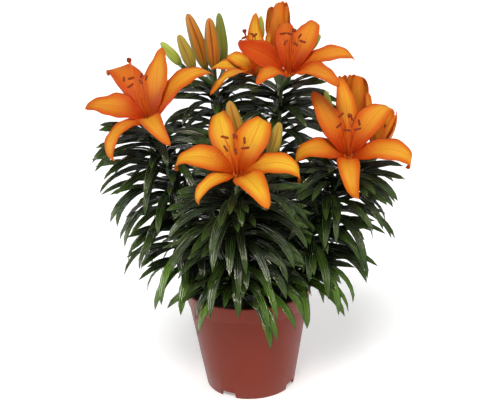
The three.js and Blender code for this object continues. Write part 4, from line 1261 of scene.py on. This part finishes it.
# %% The blade of a petal
def bent_petal(flower, petal, index):
    """The points of the flat blade, bent into a petal, in metres. It is a channel with broad waves
    and a fine frill along its edge, and a furrow between two low ridges along its middle."""
    u, s, h = petal_points.T
    place, across, upper = petal_frames(flower, petal, s)
    half = petal["width"] / 2 * np.sin(np.pi * (0.03 + 0.96 * s) ** 0.94) ** 0.95
    blunt = petal["blunt"] * np.sqrt(1 - s) * np.clip((s - 0.7) / 0.3, 0, 1) ** 2
    half = half + petal["width"] / 2 * blunt
    edge = np.abs(u)
    waist = np.sin(np.pi * s)
    rise = half * petal["channel"] * np.minimum(1, 3 * s) * (1 - 0.8 * s) * edge ** 1.3
    waves = 1.2 * u * np.sin(11 * s + 2 * index) * waist
    waves -= 0.6 * np.sin(27 * s + 3 * index + 2 * np.sign(u)) * edge ** 4 * waist ** 0.5
    rise -= petal["wavy"] * waves
    rise -= 0.55 * np.exp(-(u / 0.09) ** 2) * (1 - s) ** 0.5
    rise += 0.4 * np.exp(-((edge - 0.2) / 0.09) ** 2) * (1 - s) * np.minimum(1, 5 * s)
    thick = 0.25 + 0.85 * (1 - edge ** 2) * (1 - 0.6 * s)
    points = place - across * (u * half)[:, None] + upper * (rise + h * thick - 0.3)[:, None]
    return points * MM


# %% Flowers
STRIPE_LEFT = 0.15  # how much of the bud's green is left on the outer petals
outside_of_petal = np.where(petal_points[:, 2] < 0, 1.0, 0.0)
for name, flower in FLOWERS.items():
    shapes = [bent_petal(flower, petal, i) for i, petal in petals_of(flower)]
    reds = [own.get("red", flower["red"] + scatter(i, 5, 0.12))
        for i, own in enumerate(flower["petals"])]
    petals = copies("petals_" + name, petal_blade, shapes, {
        "tone": [np.full(len(petal_points), red) for red in reds],
        "under": [outside_of_petal] * 6,
        "stripe": [np.full(len(petal_points), left) for left in (STRIPE_LEFT, 0.0) * 3]})
    seat = np.array(Vector(flower["faces"]).to_track_quat("Z", "Y").to_matrix())
    cup_shape = cup_points @ seat.T + np.array(Vector(flower["base"]) * MM)
    ones = np.ones(len(cup_points))
    cup = copies("cup_" + name, petal_cup, [cup_shape], {
        "tone": [0 * ones], "under": [ones], "stripe": [ones]})
    petals = joined([petals, cup])
    finish(petals, "petals_" + name, [petal_skin], ["tepals_" + name])

# %% [markdown]
# ## Stamens and pistil
# In the middle of each flower stand six filaments round a pistil with its ovary, long style and
# three-lobed stigma. One straight rod is turned once, and a copy is bent along each filament. An
# anther, a long bean with a furrow, is turned once too, and each copy rocks on its tip at its own
# tilt. In a flower that is half open the anthers still stand upright.

# %% Models of the parts
ROD_STEPS = 9
rod_model = turned_shape("rod_model", [(1.0, k / ROD_STEPS) for k in range(ROD_STEPS + 1)], 8)
rod_points = points_of(rod_model)
anther_model = turned_shape("anther_model", [
    (0.2, -1), (0.6, -0.93), (0.9, -0.75), (1, -0.4), (0.92, 0), (1, 0.4), (0.9, 0.75),
    (0.6, 0.93), (0.2, 1)], 12)
anther_points = points_of(anther_model)
pistil_model = turned_shape("pistil_model", [
    (3.7, 0), (3.8, 1), (3.2, 1.4), (1.7, 1.6), (1.9, 4), (1.95, 9), (1.75, 14), (1.2, 17),
    (0.95, 20), (0.85, 38), (0.95, 56), (1.3, 58.5), (2.1, 60), (2.3, 61), (1.9, 61.9),
    (0.6, 61.7)], 18)
pistil_points = points_of(pistil_model)

# %% Filaments and anthers
FILAMENT_LENGTH = 50
FILAMENT_RADIUS = 0.8
ANTHER = (1.2, 1.2, 4)


def bent_rod(axis, ways):
    """The points of the straight rod, bent along places, with a radius for each, in metres."""
    across, up = square_to(axis)
    stations = np.clip(np.rint(rod_points[:, 2] * ROD_STEPS).astype(int), 0, ROD_STEPS)
    places = np.array([place for place, _ in ways])[stations]
    radii = np.array([radius for _, radius in ways])[stations][:, None]
    return (places + (across * rod_points[:, :1] + up * rod_points[:, 1:2]) * radii) * MM


def anther_on(tip, lie, size):
    """The points of an anther that lies one way on the tip of a filament, in metres."""
    over, beside = square_to(unit(lie))
    furrow = 1 - 0.28 * (anther_points[:, 1] > 0.5)
    local = anther_points * (ANTHER[0], ANTHER[1], ANTHER[2] * size)
    return (tip + over * local[:, :1] + beside * (local[:, 1] * furrow)[:, None]
        + lie * local[:, 2:]) * MM


# %% The stamens of one flower
def stamens_of(flower, foot, axis, rise):
    """The points of the six filaments, and of their anthers."""
    stage = HALF_OPEN if flower.get("half") else OPEN
    east, north = square_to(axis)
    filaments, anthers = [], []
    for i in range(6):
        angle = math.radians(flower["petals"][0]["turn"] + 60 * i + 30)
        out = east * math.cos(angle) + north * math.sin(angle)
        reach = FILAMENT_LENGTH * flower["size"] * stage["reach"] * (1 + scatter(i, 7, 0.08))
        place = foot + axis * 0.5 * rise + out * 2.6
        ways = [(place, FILAMENT_RADIUS)]
        for k in range(ROD_STEPS):
            lean = math.radians(stage["lean"] + stage["spread"] * (k + 0.5) / ROD_STEPS)
            place = place + (axis * math.cos(lean) + out * math.sin(lean)) * reach / ROD_STEPS
            ways.append((place, FILAMENT_RADIUS - 0.035 * (k + 1)))
        filaments.append(bent_rod(axis, ways))
        tilt = math.radians(55 + scatter(i + flower["base"][0], 3, 60))
        aslant = out * math.sin(tilt) + np.cross(axis, out) * math.cos(tilt)
        anthers.append(anther_on(place, axis if flower.get("half") else aslant, flower["size"]))
    return filaments, anthers


# %% Pistils, and all of it in each flower
around = np.arctan2(pistil_points[:, 1], pistil_points[:, 0])
lobes = 1 + np.where(pistil_points[:, 2] > 58, 0.18, 0.06) * np.cos(3 * around)
lobed = pistil_points.copy()
lobed[:, :2] *= lobes[:, None]
stigma = np.where(pistil_points[:, 2] > 59, 1.0, 0.0)
for name, flower in FLOWERS.items():
    axis = unit(np.array(flower["faces"], float))
    east, north = square_to(axis)
    rise = flower["size"] * flower.get("pistil", 1)
    foot = np.array(flower["base"]) + axis * (CUP_HEIGHT + SEAT)
    filaments, anthers = stamens_of(flower, foot, axis, rise)
    pistil = foot + (east * lobed[:, :1] + north * lobed[:, 1:2]) + axis * lobed[:, 2:] * rise
    parts = [
        copies("filaments", rod_model, filaments, {"dark": [np.zeros(len(rod_points))] * 6}),
        copies("anthers", anther_model, anthers, {"dark": [np.ones(len(anther_points))] * 6}),
        copies("pistil", pistil_model, [pistil * MM], {"dark": [stigma]})]
    finish(joined(parts), "pollen_" + name, [filament_skin], ["stamens_" + name])

# %% [markdown]
# ## Buds
# A closed bud is a long spindle, three-sided with rounded backs, and a narrow seam runs between
# each two of them. It is turned once, one long and one wide, and its points are moved in and out
# round it in code. Each copy has its own length, girth and turn, and leans a little to one side.

# %% Buds
BUD_LEVELS = [
    (0.36, 0), (0.52, 0.05), (0.66, 0.1), (0.81, 0.18), (0.9, 0.26), (0.95, 0.34), (0.96, 0.42),
    (0.93, 0.5), (0.87, 0.6), (0.79, 0.7), (0.69, 0.79), (0.58, 0.87), (0.46, 0.93), (0.32, 0.97),
    (0.18, 0.99), (0.06, 1)]
DEEP = 0.3  # how dark a bud's green is, where the bud itself doesn't say
bud_model = turned_shape("bud_model", BUD_LEVELS, 36)
ribbed = points_of(bud_model)
around = np.arctan2(ribbed[:, 1], ribbed[:, 0])
ribs = np.cos(3 * around)
on_bud = np.stack([np.cos(around), np.sin(around), 0.25 * ribbed[:, 2]], axis=1)
ribbed[:, :2] *= (0.97 - 0.07 * np.maximum(-ribs, 0) ** 6 + 0.05 * ribs)[:, None]
for name, bud in BUDS.items():
    base, tip = np.array(bud["base"], float), np.array(bud["tip"], float)
    axis = unit(tip - base)
    across = turned_about(square_to(axis)[0], axis, bud.get("turn", 0) - 30)
    up = np.cross(axis, across)
    x, y, z = (ribbed * (bud["radius"], bud["radius"], np.linalg.norm(tip - base))).T[:, :, None]
    sway = 0.5 * np.sin(np.pi * ribbed[:, 2:]) * bud["radius"] * 0.12
    shape = base + across * (x + sway) + up * y + axis * z
    piece = copies("bud_piece", bud_model, [shape * MM], {
        "ripe": [np.full(len(shape), float(bud["ripe"]))],
        "deep": [np.full(len(shape), float(bud.get("deep", DEEP)))],
        "rib": [ribs],
        "on_bud": [on_bud]})
    finish(piece, "closed_bud_" + name, [bud_skin], ["bud_" + name])

# %% [markdown]
# ## Last things
# The models that were only copied are removed.

# %% Last things
for model in (leaf_blade, petal_blade, petal_cup, bulb_model, rod_model, anther_model, pistil_model,
        bud_model):
    bpy.data.objects.remove(model)
